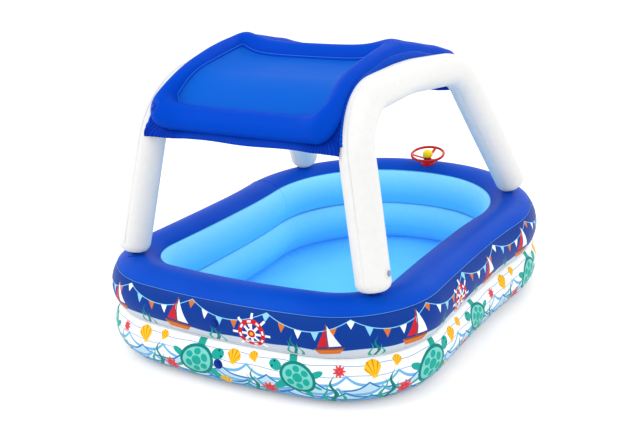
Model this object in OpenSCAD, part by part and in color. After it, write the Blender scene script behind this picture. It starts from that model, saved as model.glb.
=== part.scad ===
// Inflatable paddling pool in the shape of a small boat, with a sunshade on two arches and a toy wheel at the bow.
// The origin is on the ground under the middle of the pool. +Y points to the bow, +X to the right, +Z up.
// Vinyl skins are drawn thicker than the real film, so that each one is a sound solid.

/* [Pool outline] */
// Overall length of the pool, stern to bow
pool_length = 2130; // [1900:5:2400]
// Overall width of the pool at its widest
pool_width = 1555; // [1500:5:1700]
// Draw-in of each long side at the waist
waist_inset = 15.5; // [6:0.5:40]
// Outline radius of the two stern corners
stern_corner_radius = 435; // [380:5:520]
// Outline radius of the stern's back edge
stern_edge_radius = 3100; // [2400:50:4200]
// Distance of the bow corners' centres from the middle line; their arcs end at the long sides
bow_corner_spread = 42.5; // [30:0.5:90]
// Outline radius of the bow's front edge
bow_edge_radius = 930; // [900:5:1400]

/* [Air rings] */
// Radius of an air ring's round section
ring_radius = 130; // [110:1:150]
// Height of the lower ring's middle above the ground, where its underside is pressed flat
lower_ring_height = 126; // [104:1:148]
// Distance between the middles of the two rings
ring_pitch = 178; // [150:1:200]
// Thickness of the vinyl skins
skin = 1.5; // [1.2:0.1:2.5]
// Angle of the weld between the top band and the outer band, above the ring's middle
outer_seam_angle = 39; // [25:1:60]
// Angle of the weld between the top band and the inner band, above the ring's middle
inner_seam_angle = 46; // [25:1:60]

/* [Arches] */
// Radius of the arch tubes
arch_radius = 71; // [60:1:80]
// Distance of the leg feet from the ring's middle line, inwards
leg_inset = 39; // [20:1:60]
// Distance of the front legs' feet from the stern's end
front_leg_setback = 239; // [200:1:280]
// Distance of the rear legs' feet from the bow's end
rear_leg_setback = 425; // [380:1:470]
// Lean of each arch towards the middle, in degrees
arch_lean = 10.5; // [6:0.5:14]
// Reach of the front leg along the pool, from its foot to its bend's corner
front_leg_reach = 105; // [70:1:140]
// Reach of the rear leg along the pool, from its foot to its bend's corner
rear_leg_reach = 394; // [340:1:450]
// Height of the front bend's corner above the pool's top, measured along the lean
front_bend_rise = 722; // [650:1:800]
// Height of the rear bend's corner above the pool's top, measured along the lean
rear_bend_rise = 676; // [600:1:740]
// Extra height of the crown's middle above the line between the bends
crown_rise = 32; // [10:1:60]
// Radius of the two bends, at the middle of the tube
bend_radius = 250; // [180:5:280]
// Rounding radius of the welded feet
foot_rounding = 40; // [25:1:50]
// Clear gap between a foot and the pool's top
foot_gap = 3; // [2:0.5:8]

/* [Leg plugs] */
// Radius of the plug under each leg
plug_radius = 18; // [12:0.5:22]
// Depth of the plug in its pocket
plug_depth = 16; // [10:1:24]
// Radial running clearance of plugs, stems and pins
run_clearance = 0.1; // [0.05:0.01:0.2]
// Radius of the flange welded round each pocket
pocket_flange_radius = 40; // [34:1:50]

/* [Sunshade] */
// Height of the shade's side weld above the arch tube's middle
weld_rise = 56; // [46:1:62]
// Distance of the side weld from the arch tube's middle, inwards
weld_inset = 44; // [36:1:52]
// Width of the flat weld strip along each arch
side_strip = 16; // [12:1:26]
// Width of the side tubes
side_tube_width = 80; // [60:1:96]
// Width of the front and rear tubes
end_tube_width = 112; // [90:1:150]
// Width of the ridge tube across the middle
ridge_tube_width = 104; // [80:1:140]
// Rise of an inflated tube's top over its welds, as a share of its width
tube_fullness = 0.6; // [0.4:0.01:0.7]
// Drop of an inflated tube's underside below its welds, as a share of its width
tube_belly = 0.3; // [0.2:0.01:0.5]
// Height of the sheets' side edges over the arch's middle line, next to the end tubes
side_low_rise = 72; // [66:1:84]
// Height of the sheets' side edges over the arch's middle line, next to the ridge
side_high_rise = 97; // [84:1:110]
// Height of the front and rear panels' corners over the arch's middle line, next to the end tubes
panel_low_rise = 50; // [40:1:70]
// Height of the panels' corners over the arch's middle line, next to the ridge
panel_high_rise = 100; // [84:1:130]
// Sag of a panel's middle next to the ridge
panel_sag = 38; // [10:1:60]
// Part of the front bend below the shade's front edge, in degrees
front_edge_turn = 11; // [4:1:20]
// Part of the rear bend below the shade's rear edge, in degrees
rear_edge_turn = 2; // [0:1:12]
// Distance of the ridge behind the middle of the shade
ridge_offset = 35; // [-40:5:60]
// Extra swelling of the four corners, as a share
corner_fullness = 0.45; // [0:0.05:0.6]
// Depth of the loose skirt under the front and rear tubes
skirt_depth = 26; // [20:1:50]
// How far the middle of the skirt's hem stands out from its weld
skirt_flare = 12; // [6:1:24]
// How much further the corners of the skirt's hem stand out
skirt_corner_flare = 10; // [4:1:30]
// Distance of the shade's valve from the sheet's left edge, on the front tube
shade_valve_inset = 36; // [32:1:120]

/* [Valves] */
// Radius of a valve's welded flange
valve_flange_radius = 21; // [17:0.5:26]
// Outer radius of a valve's stem
stem_radius = 9; // [7:0.25:11]
// Length of a valve's stem
stem_length = 20; // [16:0.5:26]
// Radius of the plug's pin in the stem
pin_radius = 5.5; // [4:0.25:6]
// Length of the plug's pin
pin_length = 11; // [8:0.5:13]
// Height of the arch valves above the feet, along the leg
arch_valve_rise = 30; // [28:1:120]

/* [Steering wheel] */
// Outer radius of the wheel's rim
rim_outer_radius = 91.5; // [80:0.5:100]
// Radius of the rim's round section
rim_section = 7; // [5:0.25:9]
// Backward tilt of the wheel's axis, in degrees
wheel_tilt = 11; // [4:1:20]
// Lean of the wheel's axis to the right, in degrees
wheel_side_lean = 3; // [-8:1:8]
// Height of the rim's middle over the pool's surface, along the wheel's axis
rim_height = 52; // [46:1:64]
// Turn of the first spoke from the right-hand side, in degrees
spoke_turn = 83; // [0:1:120]
// Width of a spoke
spoke_width = 13; // [9:0.5:18]
// Height of the pedestal over the pool's surface
pedestal_height = 24; // [20:0.5:28]
// Radius of the pedestal's foot
pedestal_foot_radius = 37; // [30:1:44]
// Radius of the spindle
spindle_radius = 5; // [4:0.25:6]
// Outer radius of the horn button
button_radius = 27; // [25:0.5:31]
// Height of the horn button's dome
button_height = 27; // [24:0.5:32]
// Travel of the horn button
button_travel = 4; // [2:0.5:5]

/* [Hidden] */

$fn = 64;
seat_gap = 0.3;               // clear gap where a soft piece lies against its neighbour
upper_ring_height = lower_ring_height + ring_pitch;
pool_top = upper_ring_height + ring_radius;
divider_height = lower_ring_height + ring_pitch / 2;
groove_half_width = sqrt(pow(ring_radius, 2) - pow(ring_pitch / 2, 2));
big = 4000;
waist_width = pool_width - 2 * waist_inset;
bow_corner_radius = pool_width / 2 - bow_corner_spread;
leg_x = waist_width / 2 - ring_radius - leg_inset;
front_leg_y = front_leg_setback - pool_length / 2;
rear_leg_y = pool_length / 2 - rear_leg_setback;
front_bend_y = front_leg_y + front_leg_reach;
rear_bend_y = rear_leg_y - rear_leg_reach;

// ---- outline of the rings -------------------------------------------------------------------------------------
// One half is a waist arc, a corner arc and an edge arc, each tangent to the next.
// A half is [length from the waist, corner radius, edge radius].
bow_half = [pool_length / 2, bow_corner_radius, bow_edge_radius];
stern_half = [pool_length / 2, stern_corner_radius, stern_edge_radius];
function corner_x(half) = pool_width / 2 - half[1];
function edge_y(half) = half[0] - half[2];
function corner_y(half) = edge_y(half) + sqrt(pow(half[2] - half[1], 2) - pow(corner_x(half), 2));
function waist_depth(half) = corner_x(half) - waist_width / 2;
function waist_radius(half) =
  (pow(waist_depth(half), 2) + pow(corner_y(half), 2) - pow(half[1], 2)) / (2 * (half[1] + waist_depth(half)));
function waist_angle(half) = atan2(corner_y(half), waist_width / 2 + waist_radius(half) - corner_x(half));
function edge_angle(half) = atan2(corner_y(half) - edge_y(half), corner_x(half));

// A station is a point on the ring's middle line and the outward direction there: [[x, y], [nx, ny]].
function waist_station(half, a) = let (c = waist_width / 2 + waist_radius(half), r = waist_radius(half) + ring_radius)
  [[c - r * cos(a), r * sin(a)], [cos(a), -sin(a)]];
function arc_station(centre, radius, a) =
  [centre + (radius - ring_radius) * [cos(a), sin(a)], [cos(a), sin(a)]];
function half_stations(half, corner_steps, edge_steps) = concat(
  [for (i = [0:1]) waist_station(half, waist_angle(half) * i / 2)],
  [for (i = [0:corner_steps - 1]) arc_station([corner_x(half), corner_y(half)], half[1],
    -waist_angle(half) + (edge_angle(half) + waist_angle(half)) * i / corner_steps)],
  [for (i = [0:edge_steps]) arc_station([0, edge_y(half)], half[2],
    edge_angle(half) + (90 - edge_angle(half)) * i / edge_steps)]);
function flip(s, sx, sy) = [[s[0][0] * sx, s[0][1] * sy], [s[1][0] * sx, s[1][1] * sy]];
bow_side = half_stations(bow_half, 11, 2);
stern_side = half_stations(stern_half, 9, 3);
// Counter-clockwise round the pool, seen from above, starting at the right of the waist.
stations = concat(
  bow_side,
  [for (i = [len(bow_side) - 2:-1:1]) flip(bow_side[i], -1, 1)],
  [for (s = stern_side) flip(s, -1, -1)],
  [for (i = [len(stern_side) - 2:-1:1]) flip(stern_side[i], 1, -1)]);

// Closed sweep of a section round the stations. Section points are [outward, up], counter-clockwise.
module ring_sweep(section, height) {
  n = len(section);
  m = len(stations);
  points = [for (s = stations) for (p = section) [s[0][0] + s[1][0] * p[0], s[0][1] + s[1][1] * p[0], height + p[1]]];
  faces = [for (i = [0:m - 1]) for (j = [0:n - 1])
    let (a = i * n + j, b = i * n + (j + 1) % n, c = (i + 1) % m * n + (j + 1) % n, d = (i + 1) % m * n + j)
    each [[a, b, c], [a, c, d]]];
  polyhedron(points = points, faces = faces);
}

// Part of the ring's skin between two angles of its round section, raised over the skin by lift.
function arc_points(radius, from, to, steps) =
  [for (i = [0:steps]) let (a = from + (to - from) * i / steps) radius * [cos(a), sin(a)]];
function skin_section(from, to, steps, lift = 0, thickness = skin) = concat(
  arc_points(ring_radius + lift, from, to, steps),
  arc_points(ring_radius + lift - thickness, to, from, steps));

module ring_plan(offset_out) {
  polygon([for (s = stations) s[0] + s[1] * offset_out]);
}

weld_gap = 0.2;               // slit left where two skins meet at a weld
slit = weld_gap / ring_radius * 180 / PI;
groove_angle = asin((ring_pitch / 2 - skin / 2 - weld_gap) / ring_radius);
floor_angle = asin((lower_ring_height - skin - weld_gap) / ring_radius);
flat_half_width = sqrt(pow(ring_radius, 2) - pow(lower_ring_height - skin, 2));

// ---- placing frames -------------------------------------------------------------------------------------------
// Right arch: local Z runs up along the lean, local X is the outboard normal of the arch's plane.
module arch_frame(side) {
  mirror([side < 0 ? 1 : 0, 0, 0]) translate([leg_x, 0, pool_top]) rotate([0, -arch_lean, 0]) children();
}
// Middle line of an arch as [y, rise]: two legs, two bends and a slightly raised crown.
crown_middle = [(front_bend_y + rear_bend_y) / 2, (front_bend_rise + rear_bend_rise) / 2 + crown_rise];
arch_corners = [[front_leg_y, 0], [front_bend_y, front_bend_rise], crown_middle,
  [rear_bend_y, rear_bend_rise], [rear_leg_y, 0]];
function unit(v) = v / norm(v);
function fillet(a, b, c, radius, steps) =
  let (u = unit(a - b), v = unit(c - b), half_angle = acos(u * v) / 2, reach = radius / tan(half_angle),
    centre = b + unit(u + v) * radius / sin(half_angle), from = b + u * reach - centre,
    start = atan2(from[1], from[0]), turn = 180 - 2 * half_angle)
  [for (i = [0:steps]) centre + radius * [cos(start - turn * i / steps), sin(start - turn * i / steps)]];
crown_blend_radius = 600;
arch_bends = concat(
  fillet(arch_corners[0], arch_corners[1], arch_corners[2], bend_radius, 7),
  fillet(arch_corners[1], arch_corners[2], arch_corners[3], crown_blend_radius, 1),
  fillet(arch_corners[2], arch_corners[3], arch_corners[4], bend_radius, 5));
front_leg_up = unit(arch_corners[1] - arch_corners[0]);
rear_leg_up = unit(arch_corners[3] - arch_corners[4]);
// The foot's cap ends a fixed gap above the pool: the tube starts that much further up the leg.
foot_flat_radius = arch_radius - foot_rounding;
function foot_tilt(up) = acos(up[1] * cos(arch_lean));
function foot_start(up) =
  (foot_rounding + foot_flat_radius * sin(foot_tilt(up)) + foot_gap) / (up[1] * cos(arch_lean));
front_foot = arch_corners[0] + front_leg_up * foot_start(front_leg_up);
rear_foot = arch_corners[4] + rear_leg_up * foot_start(rear_leg_up);
arch_line = concat([front_foot], arch_bends, [rear_foot]);

// Outward direction of the arch's line at point i, in its own plane.
function line_tangent(line, i) = unit(line[min(i + 1, len(line) - 1)] - line[max(i - 1, 0)]);
function line_normal(line, i) = let (t = line_tangent(line, i)) [-t[1], t[0]];
function turned(v) = [-v[1], v[0]];
function arch_normal(i) = i == 0 ? turned(front_leg_up) : i == len(arch_line) - 1 ? turned(-rear_leg_up)
  : line_normal(arch_line, i);

// Open tube between two round skins round the arch's line.
tube_sides = 16;
module arch_skin(outer_radius, inner_radius) {
  m = len(arch_line);
  n = tube_sides;
  points = [for (radius = [outer_radius, inner_radius]) for (i = [0:m - 1]) for (j = [0:n - 1])
    let (a = 360 * j / n, out = arch_normal(i), p = arch_line[i] + out * radius * cos(a))
    [-radius * sin(a), p[0], p[1]]];
  inner = m * n;
  walls = [for (i = [0:m - 2]) for (j = [0:n - 1])
    let (a = i * n + j, b = i * n + (j + 1) % n, c = (i + 1) * n + (j + 1) % n, d = (i + 1) * n + j)
    each [[a, b, c], [a, c, d], [inner + a, inner + c, inner + b], [inner + a, inner + d, inner + c]]];
  rims = [for (j = [0:n - 1]) let (k = (j + 1) % n, e = (m - 1) * n)
    each [[j, inner + k, k], [j, inner + j, inner + k],
      [e + j, e + k, inner + e + k], [e + j, inner + e + k, inner + e + j]]];
  polyhedron(points = points, faces = concat(walls, rims));
}

// Frame at the end of a leg: local Z points down and out of the tube, along the leg.
module foot_frame(side, foot, up) {
  arch_frame(side) translate([0, foot[0], foot[1]]) rotate([atan2(up[0], up[1]) * -1, 0, 0]) mirror([0, 0, 1]) children();
}
module each_foot() {
  for (side = [-1, 1]) {
    foot_frame(side, front_foot, front_leg_up) children();
    foot_frame(side, rear_foot, rear_leg_up) children();
  }
}
// Round end of a tube, from its edge down: a flat disc with a rounded rim.
module cap_solid(grow) {
  r = arch_radius + grow;
  rounding = foot_rounding + grow;
  rotate_extrude() union() {
    square([foot_flat_radius, rounding]);
    translate([foot_flat_radius, 0]) intersection() {
      circle(rounding);
      square([rounding, rounding]);
    }
  }
}
// The legs' feet in the pool's own axes: [x, y] of the tube's end.
function foot_xy(foot) = [leg_x - foot[1] * sin(arch_lean), foot[0]];
foot_places = [for (side = [-1, 1]) for (f = [front_foot, rear_foot]) let (p = foot_xy(f)) [side * p[0], p[1]]];

// ---- sunshade surface -----------------------------------------------------------------------------------------
// The shade follows the arches' line. Its own line runs from inside the front bend to inside the rear bend.
fine_steps = 24;
front_bend_arc = fillet(arch_corners[0], arch_corners[1], arch_corners[2], bend_radius, fine_steps);
rear_bend_arc = fillet(arch_corners[2], arch_corners[3], arch_corners[4], bend_radius, fine_steps);
crown_arc = fillet(arch_corners[1], arch_corners[2], arch_corners[3], crown_blend_radius, 4);
function bend_turn(a, b, c) = acos(unit(b - a) * unit(c - b));
front_skip = floor(fine_steps * front_edge_turn / bend_turn(arch_corners[0], arch_corners[1], arch_corners[2]));
rear_skip = floor(fine_steps * rear_edge_turn / bend_turn(arch_corners[2], arch_corners[3], arch_corners[4]));
shade_path = concat([for (i = [front_skip:fine_steps]) front_bend_arc[i]], crown_arc,
  [for (i = [0:fine_steps - rear_skip]) rear_bend_arc[i]]);
path_lengths = [for (i = 0, run = 0; i < len(shade_path);
  run = run + (i + 1 < len(shade_path) ? norm(shade_path[i + 1] - shade_path[i]) : 0), i = i + 1) run];
shade_length = path_lengths[len(path_lengths) - 1];
function path_table(axis) = [for (i = [0:len(shade_path) - 1]) [path_lengths[i], shade_path[i][axis]]];
function normal_table(axis) =
  [for (i = [0:len(shade_path) - 1]) [path_lengths[i], line_normal(shade_path, i)[axis]]];
path_y = path_table(0);
path_rise = path_table(1);
normal_y = normal_table(0);
normal_rise = normal_table(1);
// Half width of the shade between its side welds, at a length s along it.
function weld_x(s) = leg_x - weld_inset * cos(arch_lean)
  - (lookup(s, path_rise) + lookup(s, normal_rise) * weld_rise) * sin(arch_lean);
function shade_point(s, x, h) = [x, lookup(s, path_y) + lookup(s, normal_y) * h,
  pool_top + (lookup(s, path_rise) + lookup(s, normal_rise) * h) * cos(arch_lean) - weld_inset * sin(arch_lean)];
function sheet_half_width(s) = weld_x(s) - side_strip;
// Two flat panels, and inflated tubes round and between them.
ridge_s = shade_length / 2 + ridge_offset;
front_panel = [end_tube_width, ridge_s - ridge_tube_width / 2];
rear_panel = [ridge_s + ridge_tube_width / 2, shade_length - end_tube_width];
function past(value, low, high) = max(low - value, value - high, 0);
function panel_half_width(s) = sheet_half_width(s) - side_tube_width;
function panel_distance(s, x, panel) =
  norm([past(s, panel[0], panel[1]), max(abs(x) - panel_half_width(s), 0)]);
function edge_distance(s, x) = max(0, min(s, shade_length - s, sheet_half_width(s) - abs(x)));
// Height of a panel over the arch's line, from 0 at its end tube to 1 at the ridge, and from 0 in the middle to 1 at
// its sides. It is stretched nearly straight, while the arch bends under it.
function panel_run(s) = max(0, min(1, s < ridge_s
  ? (s - front_panel[0]) / (front_panel[1] - front_panel[0])
  : (rear_panel[1] - s) / (rear_panel[1] - rear_panel[0])));
function panel_height(s, x) = let (t = panel_run(s), u = min(1, abs(x) / panel_half_width(s)))
  panel_low_rise + (panel_high_rise - panel_low_rise) * pow(t, 0.6) - panel_sag * (0.5 + 0.5 * t) * (1 - pow(u, 6));
end_sag = 16;
function side_rise(s) = side_low_rise + (side_high_rise - side_low_rise) * pow(panel_run(s), 0.8);
function edge_height(s, x) = let (u = min(1, abs(x) / sheet_half_width(s))) side_rise(s) - end_sag * (1 - u * u);
// Height of the welds' level under an inflated tube: between the panel's and the outer edge's.
function sheet_height(s, x) = let (a = min(panel_distance(s, x, front_panel), panel_distance(s, x, rear_panel)),
  b = edge_distance(s, x)) (panel_height(s, x) * b + edge_height(s, x) * a) / max(a + b, 0.001);
function middle_of(a, b, c) = a + b + c - min(a, b, c) - max(a, b, c);
// 1 at the middle of a corner where an end tube meets a side tube, falling to 0 around it.
function corner_share(s, x) = let (from_end = min(s, shade_length - s) - end_tube_width / 2,
  from_side = sheet_half_width(s) - side_tube_width / 2 - abs(x))
  max(0, 1 - norm([from_end, from_side]) / end_tube_width);
// An inflated tube swells between the two nearest welds.
function swell(s, x) = let (a = panel_distance(s, x, front_panel), b = panel_distance(s, x, rear_panel),
  c = edge_distance(s, x))
  2 * (1 + corner_fullness * corner_share(s, x)) * sqrt(max(0, min(a, b, c) * middle_of(a, b, c)));

tube_marks = [0, 0.12, 0.3, 0.5, 0.7, 0.88, 1];
function span(from, to, marks) = [for (t = marks) from + (to - from) * t];
shade_rows = concat(span(0, front_panel[0], tube_marks), span(front_panel[0], front_panel[1], [0.33, 0.67]),
  span(front_panel[1], rear_panel[0], tube_marks), span(rear_panel[0], rear_panel[1], [0.33, 0.67]),
  span(rear_panel[1], shade_length, tube_marks));
side_marks = [1, 0.86, 0.66, 0.4, 0.16, 0];
panel_marks = [0.75, 0.5, 0.25];
function half_columns(s) = let (e = sheet_half_width(s), inner = e - side_tube_width)
  concat([for (t = side_marks) inner + side_tube_width * t], [for (t = panel_marks) inner * t]);
function columns(s) = let (half = half_columns(s), n = len(half))
  concat([for (x = half) -x], [0], [for (i = [n - 1:-1:0]) half[i]]);

// Closed skin between an upper and a lower grid of points with the same rows and columns.
module grid_skin(upper, lower) {
  m = len(upper);
  n = len(upper[0]);
  points = concat([for (row = upper) each row], [for (row = lower) each row]);
  low = m * n;
  faces = concat(
    [for (i = [0:m - 2]) for (j = [0:n - 2]) let (a = i * n + j, b = a + 1, c = b + n, d = a + n)
      each [[a, c, b], [a, d, c], [low + a, low + b, low + c], [low + a, low + c, low + d]]],
    [for (i = [0:m - 2]) let (a = i * n, b = a + n, c = a + n - 1, d = c + n)
      each [[a, low + b, b], [a, low + a, low + b], [c, d, low + d], [c, low + d, low + c]]],
    [for (j = [0:n - 2]) let (a = j, b = j + 1, c = (m - 1) * n + j, d = c + 1)
      each [[a, b, low + b], [a, low + b, low + a], [c, low + d, d], [c, low + c, low + d]]]);
  polyhedron(points = points, faces = faces);
}
sheet_lift = seat_gap / 2;    // each sheet stays this far from the middle where the two are welded
function top_point(s, x, lift) = shade_point(s, x, sheet_height(s, x) + tube_fullness * swell(s, x) + lift);
function bottom_point(s, x, lift) = shade_point(s, x, sheet_height(s, x) - tube_belly * swell(s, x) - lift);
function top_grid(lift) = [for (s = shade_rows) [for (x = columns(s)) top_point(s, x, lift)]];
function bottom_grid(lift) = [for (s = shade_rows) [for (x = columns(s)) bottom_point(s, x, lift)]];

// ---- pool -----------------------------------------------------------------------------------------------------
module top_band(lift, thickness) {
  ring_sweep(skin_section(outer_seam_angle + slit, 180 - inner_seam_angle - slit, 7, lift, thickness),
    upper_ring_height);
}
module upper_outer_band(lift, thickness) {
  ring_sweep(skin_section(-groove_angle, outer_seam_angle, 6, lift, thickness), upper_ring_height);
}
module lower_outer_band(lift, thickness) {
  ring_sweep(skin_section(-floor_angle, groove_angle, 7, lift, thickness), lower_ring_height);
}
pocket_wall = 2;
module upper_ring_top_band() {
  color("#1848b8") difference() {
    top_band(0, skin);
    for (place = foot_places) translate([place[0], place[1], upper_ring_height])
      cylinder(r = plug_radius + pocket_wall + 1, h = ring_radius * 2);
  }
}
// Local Z points out of the stern, through the middle of a ring.
module ring_valve_frame(height) {
  translate([0, -pool_length / 2, height]) rotate([90, 0, 0]) children();
}
module valve_hole() {
  cylinder(r = stem_radius + 1, h = stem_length, center = true);
}
module upper_ring_outer_band() {
  color("#2050b0") difference() {
    upper_outer_band(0, skin);
    ring_valve_frame(upper_ring_height) valve_hole();
  }
}
module upper_ring_inner_band() {
  color("#5cc4f8")
    ring_sweep(skin_section(180 - inner_seam_angle, 180 + groove_angle, 6), upper_ring_height);
}
module ring_divider() {
  color("#9fd8f5") translate([0, 0, divider_height - skin / 2]) linear_extrude(skin) difference() {
    ring_plan(groove_half_width);
    ring_plan(-groove_half_width);
  }
}
module lower_ring_outer_band() {
  color("#f2f5f7") difference() {
    lower_outer_band(0, skin);
    ring_valve_frame(lower_ring_height) valve_hole();
  }
}
module lower_ring_inner_band() {
  color("#3fb0f6") ring_sweep(skin_section(180 - groove_angle, 180 + floor_angle, 7), lower_ring_height);
}
module floor_sheet() {
  color("#4db8fa") linear_extrude(skin) ring_plan(flat_half_width);
}
// Flange welded on the ring's top, and a closed pocket under it inside the ring.
flange_lift = seat_gap + skin;
pocket_bottom = pool_top - plug_depth - 3 * pocket_wall;
module leg_pocket(place) {
  difference() {
    union() {
      intersection() {
        translate([place[0], place[1], upper_ring_height]) cylinder(r = pocket_flange_radius, h = ring_radius * 2);
        top_band(flange_lift, skin);
      }
      translate([place[0], place[1], pocket_bottom])
        cylinder(r = plug_radius + pocket_wall, h = pool_top - skin * 2 - pocket_bottom);
    }
    translate([place[0], place[1], pocket_bottom + pocket_wall])
      cylinder(r = plug_radius + run_clearance, h = ring_radius);
  }
}
module leg_pockets() {
  color("#1a3f9c") for (place = foot_places) leg_pocket(place);
}

// ---- valves ---------------------------------------------------------------------------------------------------
// Each valve stands on local Z = 0, the skin's outer surface, with +Z pointing out.
module flange_blank() {
  difference() {
    cylinder(r = valve_flange_radius, h = stem_length, center = true);
    cylinder(r = stem_radius + run_clearance, h = big, center = true);
  }
}
stem_head = 2;
stem_head_gap = 0.2;
module valve_stem() {
  head_base = skin * 2 + stem_head_gap;
  difference() {
    union() {
      translate([0, 0, head_base - stem_length]) cylinder(r = stem_radius, h = stem_length);
      translate([0, 0, head_base]) cylinder(r = stem_radius + 3, h = stem_head);
    }
    translate([0, 0, -stem_length]) cylinder(r = pin_radius + run_clearance, h = big);
  }
}
module valve_plug() {
  head_base = skin * 2 + stem_head_gap * 2 + stem_head;
  translate([0, 0, head_base - pin_length]) cylinder(r = pin_radius, h = pin_length);
  translate([0, 0, head_base]) cylinder(r = stem_radius + 1, h = stem_head);
}
// On the outboard side of a front leg, above its foot.
module arch_valve_frame(side) {
  at = front_foot + front_leg_up * arch_valve_rise;
  arch_frame(side) translate([0, at[0], at[1]]) rotate([atan2(front_leg_up[0], front_leg_up[1]) * -1, 0, 0])
    translate([arch_radius, 0, 0]) rotate([0, 90, 0]) children();
}
// On top of the shade's front tube, near its left end, square to the sheet there.
shade_valve_s = end_tube_width * 0.5;
shade_valve_x = -(sheet_half_width(shade_valve_s) - shade_valve_inset);
valve_lift = sheet_lift + skin;
shade_valve_along = top_point(shade_valve_s + 10, shade_valve_x, valve_lift)
  - top_point(shade_valve_s - 10, shade_valve_x, valve_lift);
shade_valve_across = top_point(shade_valve_s, shade_valve_x + 10, valve_lift)
  - top_point(shade_valve_s, shade_valve_x - 10, valve_lift);
shade_valve_up = unit(cross(shade_valve_across, shade_valve_along));
module shade_valve_frame() {
  translate(top_point(shade_valve_s, shade_valve_x, valve_lift))
    rotate(a = acos(shade_valve_up[2]), v = [-shade_valve_up[1], shade_valve_up[0], 0]) children();
}
module upper_ring_valve_flange() {
  color("#1a3f9c") intersection() {
    upper_outer_band(flange_lift, skin);
    ring_valve_frame(upper_ring_height) flange_blank();
  }
}
module upper_ring_valve_stem() { color("#234fb5") ring_valve_frame(upper_ring_height) valve_stem(); }
module upper_ring_valve_plug() { color("#1a3f9c") ring_valve_frame(upper_ring_height) valve_plug(); }
module lower_ring_valve_flange() {
  color("#1a3f9c") intersection() {
    lower_outer_band(flange_lift, skin);
    ring_valve_frame(lower_ring_height) flange_blank();
  }
}
module lower_ring_valve_stem() { color("#234fb5") ring_valve_frame(lower_ring_height) valve_stem(); }
module lower_ring_valve_plug() { color("#1a3f9c") ring_valve_frame(lower_ring_height) valve_plug(); }
module arch_valve_flange(side) {
  color("#c9d3e0") intersection() {
    arch_frame(side) arch_skin(arch_radius + flange_lift, arch_radius + seat_gap);
    arch_valve_frame(side) flange_blank();
  }
}
module right_arch_valve_flange() { arch_valve_flange(1); }
module right_arch_valve_stem() { color("#8fa3c4") arch_valve_frame(1) valve_stem(); }
module right_arch_valve_plug() { color("#7f95ba") arch_valve_frame(1) valve_plug(); }
module left_arch_valve_flange() { arch_valve_flange(-1); }
module left_arch_valve_stem() { color("#8fa3c4") arch_valve_frame(-1) valve_stem(); }
module left_arch_valve_plug() { color("#7f95ba") arch_valve_frame(-1) valve_plug(); }
module shade_valve_flange() {
  color("#1a3f9c") intersection() {
    grid_skin(top_grid(sheet_lift + skin + flange_lift), top_grid(sheet_lift + skin + seat_gap));
    shade_valve_frame() flange_blank();
  }
}
module shade_valve_stem() { color("#234fb5") shade_valve_frame() valve_stem(); }
module shade_valve_plug() { color("#1a3f9c") shade_valve_frame() valve_plug(); }

// ---- arches ---------------------------------------------------------------------------------------------------
module arch_tube(side) {
  color("#f4f5f7") difference() {
    arch_frame(side) arch_skin(arch_radius, arch_radius - skin);
    arch_valve_frame(side) valve_hole();
  }
}
module right_arch_tube() { arch_tube(1); }
module left_arch_tube() { arch_tube(-1); }
module arch_end_caps() {
  color("#eceef1") each_foot() translate([0, 0, weld_gap]) difference() {
    cap_solid(0);
    translate([0, 0, -skin]) cap_solid(-skin);
  }
}
module leg_plug(place, foot, up, side) {
  tip = pool_top - plug_depth;
  difference() {
    translate([place[0], place[1], tip]) cylinder(r = plug_radius, h = plug_depth + arch_radius);
    foot_frame(side, foot, up) translate([0, 0, weld_gap]) {
      cap_solid(seat_gap);
      translate([0, 0, -big]) cylinder(r = arch_radius, h = big);
    }
  }
}
module leg_plugs() {
  color("#e3e6ea") for (side = [-1, 1]) {
    leg_plug([side * foot_xy(front_foot)[0], foot_xy(front_foot)[1]], front_foot, front_leg_up, side);
    leg_plug([side * foot_xy(rear_foot)[0], foot_xy(rear_foot)[1]], rear_foot, rear_leg_up, side);
  }
}

// ---- sunshade -------------------------------------------------------------------------------------------------
module shade_top_sheet() {
  color("#1747cf") difference() {
    grid_skin(top_grid(sheet_lift + skin), top_grid(sheet_lift));
    shade_valve_frame() valve_hole();
  }
}
module shade_bottom_sheet() {
  color("#1440bd") grid_skin(bottom_grid(sheet_lift), bottom_grid(sheet_lift + skin));
}
// Loose hem that hangs from the end of the sheets, and reaches a little over the arches' tubes.
skirt_columns = 12;
skirt_overlap = 12;
module skirt(end_s, sign) {
  half_width = weld_x(end_s) + skirt_overlap;
  function hem(depth, share, thick) = [for (i = [-skirt_columns:2:skirt_columns])
    let (u = i / skirt_columns, x = half_width * u, top = shade_point(end_s, x, edge_height(end_s, x)),
      out = share * (skirt_flare + skirt_corner_flare * pow(u, 4)))
    [top[0], top[1] - sign * (weld_gap + skin + out + thick), top[2] - depth]];
  outer = [hem(0, 0, skin), hem(skirt_depth * 0.5, 0.8, skin), hem(skirt_depth, 1, skin)];
  inner = [hem(0, 0, 0), hem(skirt_depth * 0.5, 0.8, 0), hem(skirt_depth, 1, 0)];
  if (sign > 0) grid_skin(inner, outer);
  else grid_skin(outer, inner);
}
module shade_front_skirt() { color("#1136a8") skirt(0, 1); }
module shade_rear_skirt() { color("#1136a8") skirt(shade_length, -1); }
// Flat weld strip that joins the shade's edge to each arch.
strip_rows = 22;
module side_strip_skin(side) {
  function row(s, lift) = [for (t = [0, 0.5, 1]) let (x = sheet_half_width(s) + weld_gap + (side_strip - weld_gap) * t)
    shade_point(s, side * x, side_rise(s) + (weld_rise - side_rise(s)) * t + lift)];
  rows = [for (i = [0:strip_rows]) shade_length * i / strip_rows];
  upper = [for (s = rows) row(s, skin)];
  lower = [for (s = rows) row(s, 0)];
  if (side > 0) grid_skin(upper, lower);
  else grid_skin(lower, upper);
}
module shade_side_strips() {
  color("#1136a8") for (side = [-1, 1]) side_strip_skin(side);
}

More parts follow.
